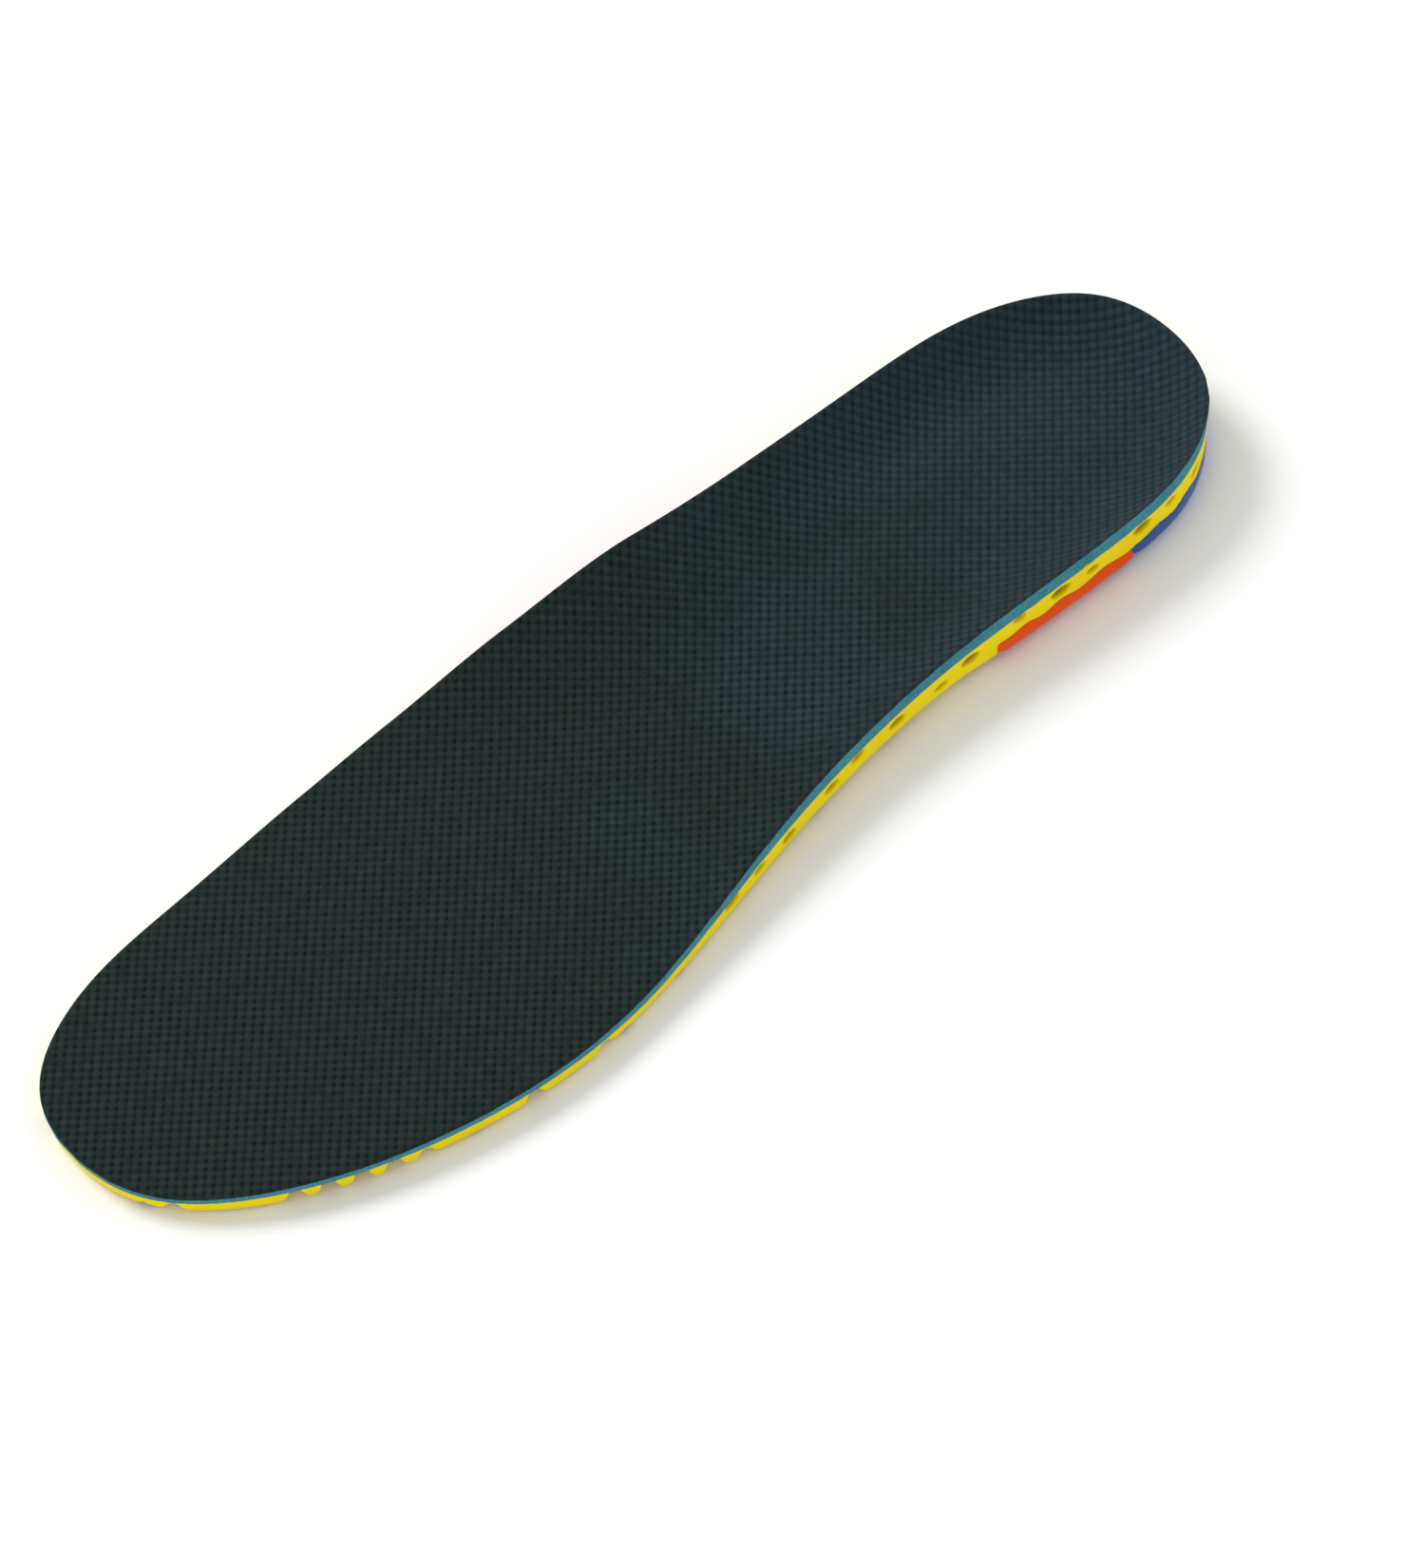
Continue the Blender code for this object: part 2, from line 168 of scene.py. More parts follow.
PIT_INTO_PLATE = 0.6    # the plate may cover a part of a pit, and the pad less
PIT_INTO_PAD = -0.8
PIT_FRONT = 166.0
SIDE_PIT_SPACING = 10.4
SIDE_PIT_RADII = (2.3, 2.2, 1.3)        # along the wall, into it and upwards
SIDE_PIT_SHIFT = 1.6    # unevenness of their places, heights and sizes
SIDE_PIT_LEVEL = (0.50, 0.14)
SIDE_PIT_SIZE = (0.88, 0.17)
SIDE_PIT_END = 158.0
SIDE_PIT_ROOM = 2.2     # least height of yellow wall that has pits
VOXEL = 0.5
FIELD_MARGIN = 2.0
FIELD_HEIGHTS = (-1.0, 20.5)
BASE_FACES = 188000     # triangles left in the base
SOLE_ROUND = 0.8
HOLE_ROUND = 0.7
POCKET_ROUND = 0.35
RIM_ROUND = 0.12
HOLE_SHADE_DEPTH = 1.6      # painted shade in the holes is darkest this far below the foam's skin
CUT_REACH = 4.0         # no hole or pit matters further from its centre than this
CUT_FAR = 9.0           # distance that stands for none in reach
CROSSING_FILL = 0.05    # how solid a filled corner of the field is
SETTLE_REACH = 0.05
SETTLE_LIMIT = 0.4      # the most a point is moved, in voxels

# The arch plate and the heel pad.
PLATE_THICKNESS = 1.8
PLATE_RIM = 1.7         # how far the plate curls up at the wall
PLATE_RIM_WIDTH = 5.0
PLATE_WAVE = 0.5
PLATE_STEP = 0.5
PLATE_EDGE_ROUND = 0.5
PLATE_PROUD = 0.45      # how far the plate's edge bulges out
RIB_HEIGHT = 0.45
RIB_WIDTH = 0.85
RIB_FADE = 5.0          # degrees over which a curved rib ends
PAD_TOP = 4.3
PAD_RIM = 0.7
PAD_RIM_WIDTH = 5.0
PAD_WAVE = 0.4
PAD_FLOOR = 0.7
PAD_STEP = 0.55
PAD_EDGE_ROUND = 1.0
PAD_EDGE_WIDTH = 4.5
PAD_LIP = 0.5           # extra rounding where the pad meets the plate
PAD_CENTRE = (2.0, 45.0)
RIPPLE_HEIGHT = 0.18
RIPPLE_SPACING = 4.6
RIPPLE_SPAN = (14, 34)  # distances from the pad's centre
GROOVE_DEPTH = 0.8
GROOVE_INSET = 4.6
GROOVE_WIDTH = 1.3
GROOVE_FRONT = (30, 6)  # where it ends, and over which length
LUGS = 24               # to a full turn
TICK_HEIGHT = 0.5
TICK_TURNS = (43, 137, 232, 312)        # degrees from +across
TICK_SPAN = (15, 21)    # distances from the pad's centre

# Maps and grids of the plan.
MAP_LOW = (-46.0, -12.0)
MAP_SIZE = (212, 602)
MAP_STEP = 0.5
GRID_REACH = 158.0      # half the width of a grid before it is cut to a region
LATTICE_REACH = 70      # rows of holes on each side of the first one
SNAP_REACH = 0.52       # in grid steps: nodes this close to a region's edge are moved onto it
SNAP_SLACK = 0.02
RING = ((0, 0), (1, 0), (1, 1), (0, 1))     # a cell's corners, in turn
SMOOTH_ANGLE = math.radians(40)


# ---------------------------------------------------------------- plan geometry

def smoothstep(t):
    t = np.clip(t, 0, 1)
    return t * t * (3 - 2 * t)


def hermite(t, start, end, start_slope, end_slope):
    """A cubic from start to end, by its slopes over the whole span."""
    return (
        (2 * t**3 - 3 * t**2 + 1) * start + (t**3 - 2 * t**2 + t) * start_slope
        + (3 * t**2 - 2 * t**3) * end + (t**3 - t**2) * end_slope
    )


def smooth_loop(points, count):
    """A closed cubic curve through the points, drawn with count evenly spaced points."""
    p = np.asarray(points, float)
    n = len(p)
    step = np.linalg.norm(np.roll(p, -1, 0) - p, axis=1)
    before = np.roll(step, 1)
    system = np.zeros((n, n))
    right = np.zeros((n, 2))
    for i in range(n):
        j, k = (i - 1) % n, (i + 1) % n
        system[i, j] = 1 / before[i]
        system[i, i] = 2 / before[i] + 2 / step[i]
        system[i, k] = 1 / step[i]
        right[i] = 3 * ((p[i] - p[j]) / before[i] ** 2 + (p[k] - p[i]) / step[i] ** 2)
    slope = np.linalg.solve(system, right)
    t = np.linspace(0, 1, 40, endpoint=False)[:, None]
    fine = []
    for i in range(n):
        k = (i + 1) % n
        fine.append(hermite(t, p[i], p[k], step[i] * slope[i], step[i] * slope[k]))
    fine = np.vstack(fine)
    closed = np.vstack([fine, fine[:1]])
    run = np.concatenate([[0], np.cumsum(np.linalg.norm(np.diff(closed, axis=0), axis=1))])
    places = np.linspace(0, run[-1], count, endpoint=False)
    return np.stack([np.interp(places, run, closed[:, axis]) for axis in (0, 1)], 1)


def profile(stations, along):
    """The value at each distance along the insole: a smooth curve that never overshoots its stations."""
    x, y = np.transpose(np.asarray(stations, float))
    width = np.diff(x)
    rise = np.diff(y) / width
    slope = np.zeros(len(x))
    for i in range(1, len(x) - 1):
        if rise[i - 1] * rise[i] > 0:
            slope[i] = 2 * rise[i - 1] * rise[i] / (rise[i - 1] + rise[i])
    along = np.clip(along, x[0], x[-1])
    i = np.clip(np.searchsorted(x, along) - 1, 0, len(x) - 2)
    t = (along - x[i]) / width[i]
    return hermite(t, y[i], y[i + 1], width[i] * slope[i], width[i] * slope[i + 1])


def distance_inside(loop, points):
    """How far each point lies inside the loop, negative outside it."""
    start, end = loop, np.roll(loop, -1, 0)
    run = end - start
    offset = points[:, None] - start[None]
    share = np.clip(np.sum(offset * run, 2) / np.sum(run * run, 1), 0, 1)
    near = np.linalg.norm(offset - share[..., None] * run, axis=2).min(1)
    above = (start[:, 1] > points[:, None, 1]) != (end[:, 1] > points[:, None, 1])
    rise = np.where(run[:, 1] == 0, 1, run[:, 1])
    crossing = start[:, 0] + (points[:, None, 1] - start[:, 1]) * run[:, 0] / rise
    inside = np.sum(above & (points[:, None, 0] < crossing), 1) % 2 == 1
    return np.where(inside, near, -near)


def plan_map(work, shift=0.0):
    """A map of the plan from a function of places, worked out part by part."""
    axes = [MAP_LOW[axis] + MAP_STEP * (np.arange(MAP_SIZE[axis]) + shift) for axis in (0, 1)]
    nodes = np.stack(np.meshgrid(*axes, indexing="ij"), -1).reshape(-1, 2)
    return np.concatenate([work(part) for part in np.array_split(nodes, 50)]).reshape(MAP_SIZE)


def distance_map(loop):
    return plan_map(lambda places: distance_inside(loop, places))


def lookup(plan_map, across, along):
    """A map's value at each place, by bilinear interpolation."""
    u = np.clip((across - MAP_LOW[0]) / MAP_STEP, 0, MAP_SIZE[0] - 1.001)
    v = np.clip((along - MAP_LOW[1]) / MAP_STEP, 0, MAP_SIZE[1] - 1.001)
    i, j = u.astype(int), v.astype(int)
    u, v = u - i, v - j
    near = (1 - u) * plan_map[i, j] + u * plan_map[i + 1, j]
    far = (1 - u) * plan_map[i, j + 1] + u * plan_map[i + 1, j + 1]
    return (1 - v) * near + v * far


EDGE_LOOP = smooth_loop(OUTLINE, 500)
LOWEST, HIGHEST = EDGE_LOOP.min(0), EDGE_LOOP.max(0)
CENTRE_ACROSS = (LOWEST[0] + HIGHEST[0]) / 2
STRETCH = LENGTH / (HIGHEST[1] - LOWEST[1])
EDGE_MAP = distance_map(EDGE_LOOP)
PLATE_MAP = distance_map(smooth_loop(PLATE_OUTLINE, 220))
PAD_MAP = distance_map(smooth_loop(PAD_OUTLINE, 220))


def edge_distance(across, along):
    return lookup(EDGE_MAP, across, along)


def slope_of(region, across, along, reach=0.4):
    """The direction in which a region's distance grows fastest, as unit vectors."""
    grow_x = region(across + reach, along) - region(across - reach, along)
    grow_y = region(across, along + reach) - region(across, along - reach)
    size = np.maximum(np.hypot(grow_x, grow_y), 1e-9)
    return grow_x / size, grow_y / size


def world_xyz(across, along, height):
    """World points, in metres."""
    x = across - CENTRE_ACROSS
    y = LENGTH / 2 - (along - LOWEST[1]) * STRETCH
    return np.stack([x, y, height], -1) * MM


def outer_share(across, along):
    return smoothstep((across - profile(MID_LINE, along)) / SIDE_BLEND + 0.5)


def rim_height(across, along):
    outer = outer_share(across, along)
    return profile(INNER_RIM, along) * (1 - outer) + profile(OUTER_RIM, along) * outer


def near_edge(across, along, width, most=BEYOND_EDGE):
    """0 where the outline is further than a width, 1 at it and a little more outside it."""
    return np.clip(1 - edge_distance(across, along) / width, 0, most)


def top_height(across, along):
    """The cover's surface: a flat forefoot, a heel cup and an inner flank that climbs over the arch."""
    outer = outer_share(across, along)
    seat = profile(SEAT, along)
    inner_climb = near_edge(across, along, profile(INNER_SLOPE_WIDTH, along)) ** 2
    outer_climb = near_edge(across, along, OUTER_SLOPE_WIDTH) ** 2
    return seat + (rim_height(across, along) - seat) * (inner_climb * (1 - outer) + outer_climb * outer)


def sole_height(across, along):
    """The foam's underside: flat at the front, rounded at the edge and lifted under the inner arch."""
    arch = profile(ARCH_LIFT, along) * (1 - outer_share(across, along))
    arch *= near_edge(across, along, ARCH_WIDTH) ** 1.5
    edge = profile(EDGE_ROUND, along) * near_edge(across, along, EDGE_ROUND_WIDTH) ** 2
    return profile(REAR_LIFT, along) + arch + edge


def edge_wave(across, along):
    """The small unevenness of a cut edge."""
    return EDGE_WAVE * (np.sin(across * 0.9 + along * 0.55) + np.sin(along * 1.31 - across * 0.7 + 1.3))


def teal_top(across, along):
    return top_height(across, along) - COVER_THICKNESS


def base_top(across, along):
    """The yellow foam's upper face, which dips at the wall where the teal foam grows thicker."""
    climb = near_edge(across, along, TEAL_BAND_WIDTH, 1.2) ** 2
    extra = (profile(TEAL_BAND, along) - TEAL_INNER_THICKNESS) * climb
    return teal_top(across, along) - TEAL_INNER_THICKNESS - extra + edge_wave(across, along) * climb


def plate_top(across, along):
    """The plate's upper face, which curls up in gentle waves where it meets the wall."""
    curl = near_edge(across, along, PLATE_RIM_WIDTH) ** 2
    wave = PLATE_WAVE * np.sin(2 * math.pi * along / SIDE_PIT_SPACING + 0.6 * np.sin(0.21 * along))
    return sole_height(across, along) + PLATE_THICKNESS + (PLATE_RIM + wave) * curl


def pad_top(across, along):
    """The pad's upper face, level but for the wall's side, where it curls up in gentle waves."""
    curl = near_edge(across, along, PAD_RIM_WIDTH) ** 2
    wave = PAD_WAVE * np.sin(0.55 * along + 0.35 * across)
    return PAD_TOP + (PAD_RIM + wave) * curl


def lean_in(across, along, height):
    """Moves places near the outline inwards, the lower the further, so that the wall tapers."""
    grow_x, grow_y = slope_of(edge_distance, across, along)
    share = np.clip(1 - height / rim_height(across, along), 0, 1)
    reach = smoothstep(1 - edge_distance(across, along) / TAPER_REACH)
    amount = profile(WALL_TAPER, along) * share * reach
    return across + grow_x * amount, along + grow_y * amount


# ---------------------------------------------------------------- meshes

def make_object(name, places, faces):
    """An object from plan places and heights in millimetres, and lists of faces of equal size."""
    across, along = lean_in(*places.T)
    mesh = bpy.data.meshes.new(name)
    corners = [face for part in faces for face in part.tolist()]
    mesh.from_pydata(world_xyz(across, along, places[:, 2]).tolist(), [], corners)
    mesh.validate()
    piece = bpy.data.objects.new(name, mesh)
    bpy.context.scene.collection.objects.link(piece)
    return piece


def vertex_places(mesh):
    """The world places of a mesh's vertices, in millimetres, in one row."""
    places = np.empty(len(mesh.vertices) * 3, np.float32)
    mesh.vertices.foreach_get("co", places)
    return places / MM


def keep_number(mesh, name, values):
    """Stores a number for each vertex, which a material can read."""
    mesh.attributes.new(name, "FLOAT", "POINT").data.foreach_set("value", values.astype(np.float32))


def keep_rest_places(mesh):
    """Stores each vertex's place at rest, for materials that must not slide in a bend."""
    mesh.attributes.new("rest", "FLOAT_VECTOR", "POINT").data.foreach_set("vector", vertex_places(mesh))


def keep_relief(piece, relief):
    """Stores how far a piece's moulded lines stand out or sink in, in millimetres."""
    x, y, _ = vertex_places(piece.data).reshape(-1, 3).T
    height = relief(x + CENTRE_ACROSS, LOWEST[1] + (LENGTH / 2 - y) / STRETCH)
    keep_number(piece.data, "relief", height)


def decimate(piece, ratio, group=None):
    """Thins a mesh out where it is flat, in one vertex group or all over."""
    thin = piece.modifiers.new("thin out", "DECIMATE")
    thin.ratio = ratio
    thin.use_collapse_triangulate = True
    if group is not None:
        members = piece.vertex_groups.new(name="thin out")
        members.add(group, 1.0, "REPLACE")
        thin.vertex_group = members.name
    evaluated = piece.evaluated_get(bpy.context.evaluated_depsgraph_get())
    mesh = bpy.data.meshes.new_from_object(evaluated)
    old = piece.data
    piece.modifiers.clear()
    piece.vertex_groups.clear()
    piece.data = mesh
    bpy.data.meshes.remove(old)
    mesh.name = piece.name


def bend_ends():
    """World points at which the bend from the rear to the forefoot starts and ends."""
    inner, outer = (Vector(world_xyz(*place, 0.0)) for place in (FLEX_INNER, FLEX_OUTER))
    pivot = (inner + outer) / 2
    towards_toe = Vector((0, 0, 1)).cross(inner - outer).normalized()
    return pivot - towards_toe * BEND_BEHIND * MM, pivot + towards_toe * BEND_AHEAD * MM


def score_bend(piece):
    """Cuts a mesh's long faces along lines across the bend, so that they can follow it."""
    start, end = bend_ends()
    bm = bmesh.new()
    bm.from_mesh(piece.data)
    long_edges = [edge for edge in bm.edges if edge.calc_length() > LONG_EDGE * MM]
    faces = dict.fromkeys(face for edge in long_edges for face in edge.link_faces)
    edges = dict.fromkeys(edge for face in faces for edge in face.edges)
    verts = dict.fromkeys(vert for face in faces for vert in face.verts)
    geometry = [*faces, *edges, *verts]
    for share in np.linspace(0, 1, BEND_CUTS):
        cut = bmesh.ops.bisect_plane(
            bm, geom=geometry, dist=1e-5, plane_co=start.lerp(end, share), plane_no=end - start,
        )
        geometry = cut["geom"]
    bm.to_mesh(piece.data)
    bm.free()


def grid_nodes(region, step, turn):
    """Nodes of a turned grid, those near the region's edge moved onto it, and which of them it holds."""
    count = int(2 * GRID_REACH / step)
    line = (np.arange(count) - count // 2) * step
    u, v = np.meshgrid(line, line, indexing="ij")
    cos, sin = math.cos(turn), math.sin(turn)
    across = CENTRE_ACROSS + u * cos - v * sin
    along = LENGTH / 2 + u * sin + v * cos
    distance = region(across, along)
    for _ in range(3):
        near = np.abs(distance) < SNAP_REACH * step
        grow_x, grow_y = slope_of(region, across[near], along[near])
        across[near] -= grow_x * distance[near]
        along[near] -= grow_y * distance[near]
        settled = region(across[near], along[near])
        distance[near] = np.where(np.abs(settled) < SNAP_SLACK * step, 0, settled)
    return across, along, distance > -2.5 * SNAP_SLACK * step


def cell_corners(grid, first=0, second=1):
    """Views of a grid that hold each corner of its cells in one plane, in turn."""
    views = []
    for shift in RING:
        part = [slice(None)] * grid.ndim
        for axis, steps in zip((first, second), shift):
            part[axis] = slice(steps, grid.shape[axis] - 1 + steps)
        views.append(grid[tuple(part)])
    return views


def plan_mesh(region, step, turn=0.0):
    """Places and faces (quads, triangles) that cover a region of the plan, wound anticlockwise."""
    across, along, kept = grid_nodes(region, step, turn)
    index = np.full(kept.shape, -1)
    index[kept] = np.arange(kept.sum())
    held, numbers = np.stack(cell_corners(kept)), np.stack(cell_corners(index))
    quads = numbers[:, held.all(0)].T
    triangles = []
    for missing in range(4):
        others = [k for k in range(4) if k != missing]
        three = held[others].all(0) & ~held[missing]
        triangles.append(numbers[others][:, three].T)
    triangles = np.vstack(triangles)
    used = np.unique(np.concatenate([quads.ravel(), triangles.ravel()]))
    renumber = np.full(index.max() + 1, -1)
    renumber[used] = np.arange(len(used))
    places = np.stack([across[kept], along[kept]], 1)[used]
    return places, renumber[quads], renumber[triangles]


def border_edges(quads, triangles):
    """The directed edges that belong to one face only."""
    sides = [np.stack([part, np.roll(part, -1, 1)], -1) for part in (quads, triangles)]
    edges = np.vstack([part.reshape(-1, 2) for part in sides])
    keys = edges.min(1).astype(np.int64) * (edges.max() + 1) + edges.max(1)
    _, first, count = np.unique(keys, return_index=True, return_counts=True)
    return edges[first[count == 1]]


def slab(name, region, lower, upper, step, turn=0.0, rows=3, proud=0.0):
    """A closed layer between two height surfaces, with its wall drawn in rows of quads.

    The wall's middle stands out by proud. Returns the object and the numbers of the vertices
    inside its lower face.
    """
    places, quads, triangles = plan_mesh(region, step, turn)
    border = border_edges(quads, triangles)
    count = len(places)
    low, high = lower(*places.T), upper(*places.T)
    rim = np.unique(border)
    inwards = np.stack(slope_of(region, *places[rim].T), 1)
    levels = [np.column_stack([places, low]), np.column_stack([places, high])]
    wall_rows = [rim]
    for row in range(1, rows):
        share = row / rows
        z = low[rim] * (1 - share) + high[rim] * share
        out = proud * math.sin(math.pi * share) ** 0.5
        levels.append(np.column_stack([places[rim] - inwards * out, z]))
        wall_rows.append(2 * count + (row - 1) * len(rim) + np.arange(len(rim)))
    wall_rows.append(rim + count)
    i, j = np.searchsorted(rim, border).T
    wall = [
        np.stack([below[j], below[i], above[i], above[j]], 1)
        for below, above in zip(wall_rows, wall_rows[1:])
    ]
    faces = [quads[:, ::-1], quads + count, np.vstack(wall), triangles[:, ::-1], triangles + count]
    # Going towards the toe is going towards -Y, so the plan is mirrored and every face turns over.
    piece = make_object(name, np.vstack(levels), [part[:, ::-1] for part in faces])
    return piece, np.setdiff1d(np.arange(count), rim)


# ---------------------------------------------------------------- cover and teal foam

def weave_places(across, along):
    """A place on the cover in weave cells, counted along the two threads."""
    cos, sin = math.cos(WEAVE_TURN), math.sin(WEAVE_TURN)
    u = (across - CENTRE_ACROSS) * cos + (along - LENGTH / 2) * sin
    v = (along - LENGTH / 2) * cos - (across - CENTRE_ACROSS) * sin
    return u / WEAVE_PITCH, v / WEAVE_PITCH


def woven_top(across, along):
    """The cover's surface with its pores, the grooves between threads and a rolled edge."""
    u, v = weave_places(across, along)
    groove_u = 0.5 + 0.5 * np.cos(2 * math.pi * u)
    groove_v = 0.5 + 0.5 * np.cos(2 * math.pi * v)
    inner = smoothstep(edge_distance(across, along) / WEAVE_FADE)
    relief = PORE_DEPTH * groove_u * groove_v + THREAD_GROOVE * (groove_u + groove_v)
    edge = COVER_EDGE_DROP * near_edge(across, along, COVER_EDGE_WIDTH, 1) ** 2
    return top_height(across, along) - relief * inner - edge


def make_cover():
    def region(across, along):
        return edge_distance(across, along) + COVER_PROUD

    def underside(across, along):
        return teal_top(across, along) - OVERLAP

    step = WEAVE_PITCH / WEAVE_QUADS
    piece, below = slab(
        "woven_cover", region, underside, woven_top, step, WEAVE_TURN, rows=2, proud=COVER_PROUD,
    )
    decimate(piece, UNDERSIDE_KEEP, [int(i) for i in below])
    score_bend(piece)
    return piece


def make_teal_foam():
    def region(across, along):
        return edge_distance(across, along) + TEAL_PROUD + 0.5 * edge_wave(across, along)

    def underside(across, along):
        return base_top(across, along) - OVERLAP

    piece, _ = slab("teal_layer", region, underside, teal_top, TEAL_STEP, rows=4, proud=0.05)
    return piece


# ---------------------------------------------------------------- yellow foam base

def lattice(pitch, row, start):
    """The nodes of a triangular lattice over the whole insole."""
    first = np.asarray(row, float) / np.linalg.norm(row) * pitch
    second = np.array([[0.5, -math.sqrt(0.75)], [math.sqrt(0.75), 0.5]]) @ first
    rows = np.arange(-LATTICE_REACH, LATTICE_REACH + 1)
    i, j = np.meshgrid(rows, rows)
    nodes = np.asarray(start) + i.reshape(-1, 1) * first + j.reshape(-1, 1) * second
    return nodes[edge_distance(*nodes.T) > -EDGE_NOTCH]


def through_holes():
    """Centres of the funnel holes of the front half, and of the notches that they leave in the wall."""
    nodes = lattice(HOLE_PITCH, HOLE_ROW, HOLE_START)
    inside = edge_distance(*nodes.T)
    front = nodes[:, 1] > HOLE_REACH + HOLE_SLANT * nodes[:, 0]
    whole_or_notch = (inside > EDGE_CLEAR) | (inside < EDGE_NOTCH)
    clear = lookup(PLATE_MAP, *nodes.T) < -HOLE_MOUTH - HOLE_PLATE_GAP
    return nodes[front & whole_or_notch & clear]


def blind_pits():
    """Centres of the pits in the yellow areas beside the plate and the pad."""
    nodes = lattice(PIT_PITCH, PIT_ROW, PIT_START)
    nodes = nodes[(edge_distance(*nodes.T) > PIT_CLEAR) & (nodes[:, 1] < PIT_FRONT)]
    nodes = nodes[lookup(PLATE_MAP, *nodes.T) < PIT_INTO_PLATE]
    return nodes[lookup(PAD_MAP, *nodes.T) < PIT_INTO_PAD]


def side_pits():
    """The shallow pits along the rear wall: place, height, the way into the wall and size."""
    run = np.concatenate([[0], np.cumsum(np.linalg.norm(np.diff(EDGE_LOOP, axis=0), axis=1))])
    pits = []
    for number, even in enumerate(np.arange(0, run[-1], SIDE_PIT_SPACING)):
        distance = even + SIDE_PIT_SHIFT * math.sin(2.3 * number)
        place = np.array([np.interp(distance, run, EDGE_LOOP[:, axis]) for axis in (0, 1)])
        if place[1] > SIDE_PIT_END:
            continue
        top = float(base_top(*place))
        low = float(sole_height(*place))
        if lookup(PLATE_MAP, *place) > -2:
            low = float(plate_top(*place))
        if lookup(PAD_MAP, *place) > -2:
            low = float(pad_top(*place))
        if top - low < SIDE_PIT_ROOM:
            continue
        level = low + (top - low) * (SIDE_PIT_LEVEL[0] + SIDE_PIT_LEVEL[1] * math.sin(1.7 * number))
        size = SIDE_PIT_SIZE[0] + SIDE_PIT_SIZE[1] * math.sin(2.9 * number)
        pits.append((place, level, np.array(slope_of(edge_distance, *place)), size))
    return pits


HOLES = through_holes()
PITS = blind_pits()
SIDE_PITS = side_pits()
CUTS = np.vstack([HOLES, PITS])
IS_HOLE = np.arange(len(CUTS)) < len(HOLES)


def nearest_cut(places):
    """The number of the hole or pit nearest to each place, or -1 where none is in reach."""
    distance = np.linalg.norm(places[:, None] - CUTS, axis=2)
    return np.where(distance.min(1) < CUT_REACH, distance.argmin(1), -1)


NEAREST_CUT = plan_map(nearest_cut, 0.5)


def smooth_max(a, b, radius):
    """The larger of two fields, with the edge between them rounded."""
    h = np.clip(0.5 + 0.5 * (a - b) / radius, 0, 1)
    return b * (1 - h) + a * h + radius * h * (1 - h)


def column_values(across, along):
    """All that the base's field needs to know about each place of the plan."""
    i = np.clip(((across - MAP_LOW[0]) / MAP_STEP).astype(int), 0, MAP_SIZE[0] - 1)
    j = np.clip(((along - MAP_LOW[1]) / MAP_STEP).astype(int), 0, MAP_SIZE[1] - 1)
    k = NEAREST_CUT[i, j]
    centre = CUTS[k]
    pad = lookup(PAD_MAP, across, along)
    return {
        "inside": edge_distance(across, along),
        "top": base_top(across, along), "sole": sole_height(across, along),
        "cut": np.where(k < 0, CUT_FAR, np.hypot(across - centre[..., 0], along - centre[..., 1])),
        "through": IS_HOLE[k],
        "plate": np.minimum(lookup(PLATE_MAP, across, along), -pad - SEAM),
        "plate_top": plate_top(across, along), "pad": pad, "pad_top": pad_top(across, along),
    }


def whole_foam(column, height):
    """The yellow foam's field before anything is cut from it."""
    foam = smooth_max(-column["inside"], column["sole"] - height, SOLE_ROUND)
    return smooth_max(foam, height - column["top"], RIM_ROUND)


def base_field(column, height):
    """Negative inside the yellow foam and positive outside it, in millimetres near its surface."""
    lift = height - column["sole"]
    depth = np.clip(lift / np.maximum(column["top"] - column["sole"], 1), 0, 1)
    funnel = HOLE_THROAT + (HOLE_MOUTH - HOLE_THROAT) * (1 - depth) ** HOLE_FLARE
    share = np.clip(lift / PIT_DEPTH, 0, 1)
    pit_radius = PIT_THROAT + (PIT_MOUTH - PIT_THROAT) * (1 - share) ** 1.5
    pit = np.maximum(column["cut"] - pit_radius, lift - PIT_DEPTH)
    cut = np.where(column["through"], column["cut"] - funnel, pit)
    foam = smooth_max(whole_foam(column, height), -cut, HOLE_ROUND)
    plate = np.maximum(-column["plate"] - SEAM, height - column["plate_top"] - OVERLAP)
    pad = np.maximum(-column["pad"] - SEAM, height - column["pad_top"] - OVERLAP)
    return smooth_max(foam, -np.minimum(plate, pad), POCKET_ROUND)


def cut_side_pits(field, across, along, height):
    """Adds the wall's pits to a field that was worked out at the given points."""
    for place, level, inward, size in SIDE_PITS:
        offsets = (across - place[0], along - place[1], height - level)
        near = np.all([np.abs(offset) < CUT_REACH for offset in offsets], axis=0)
        x, y, z = (offset[near] for offset in offsets)
        into = x * inward[0] + y * inward[1]
        beside = x * inward[1] - y * inward[0]
        shape = sum((part / radius) ** 2 for part, radius in zip((beside, into, z), SIDE_PIT_RADII))
        pit = (np.sqrt(shape) - size) * min(SIDE_PIT_RADII)
        field[near] = smooth_max(field[near], -pit, HOLE_ROUND)
    return field


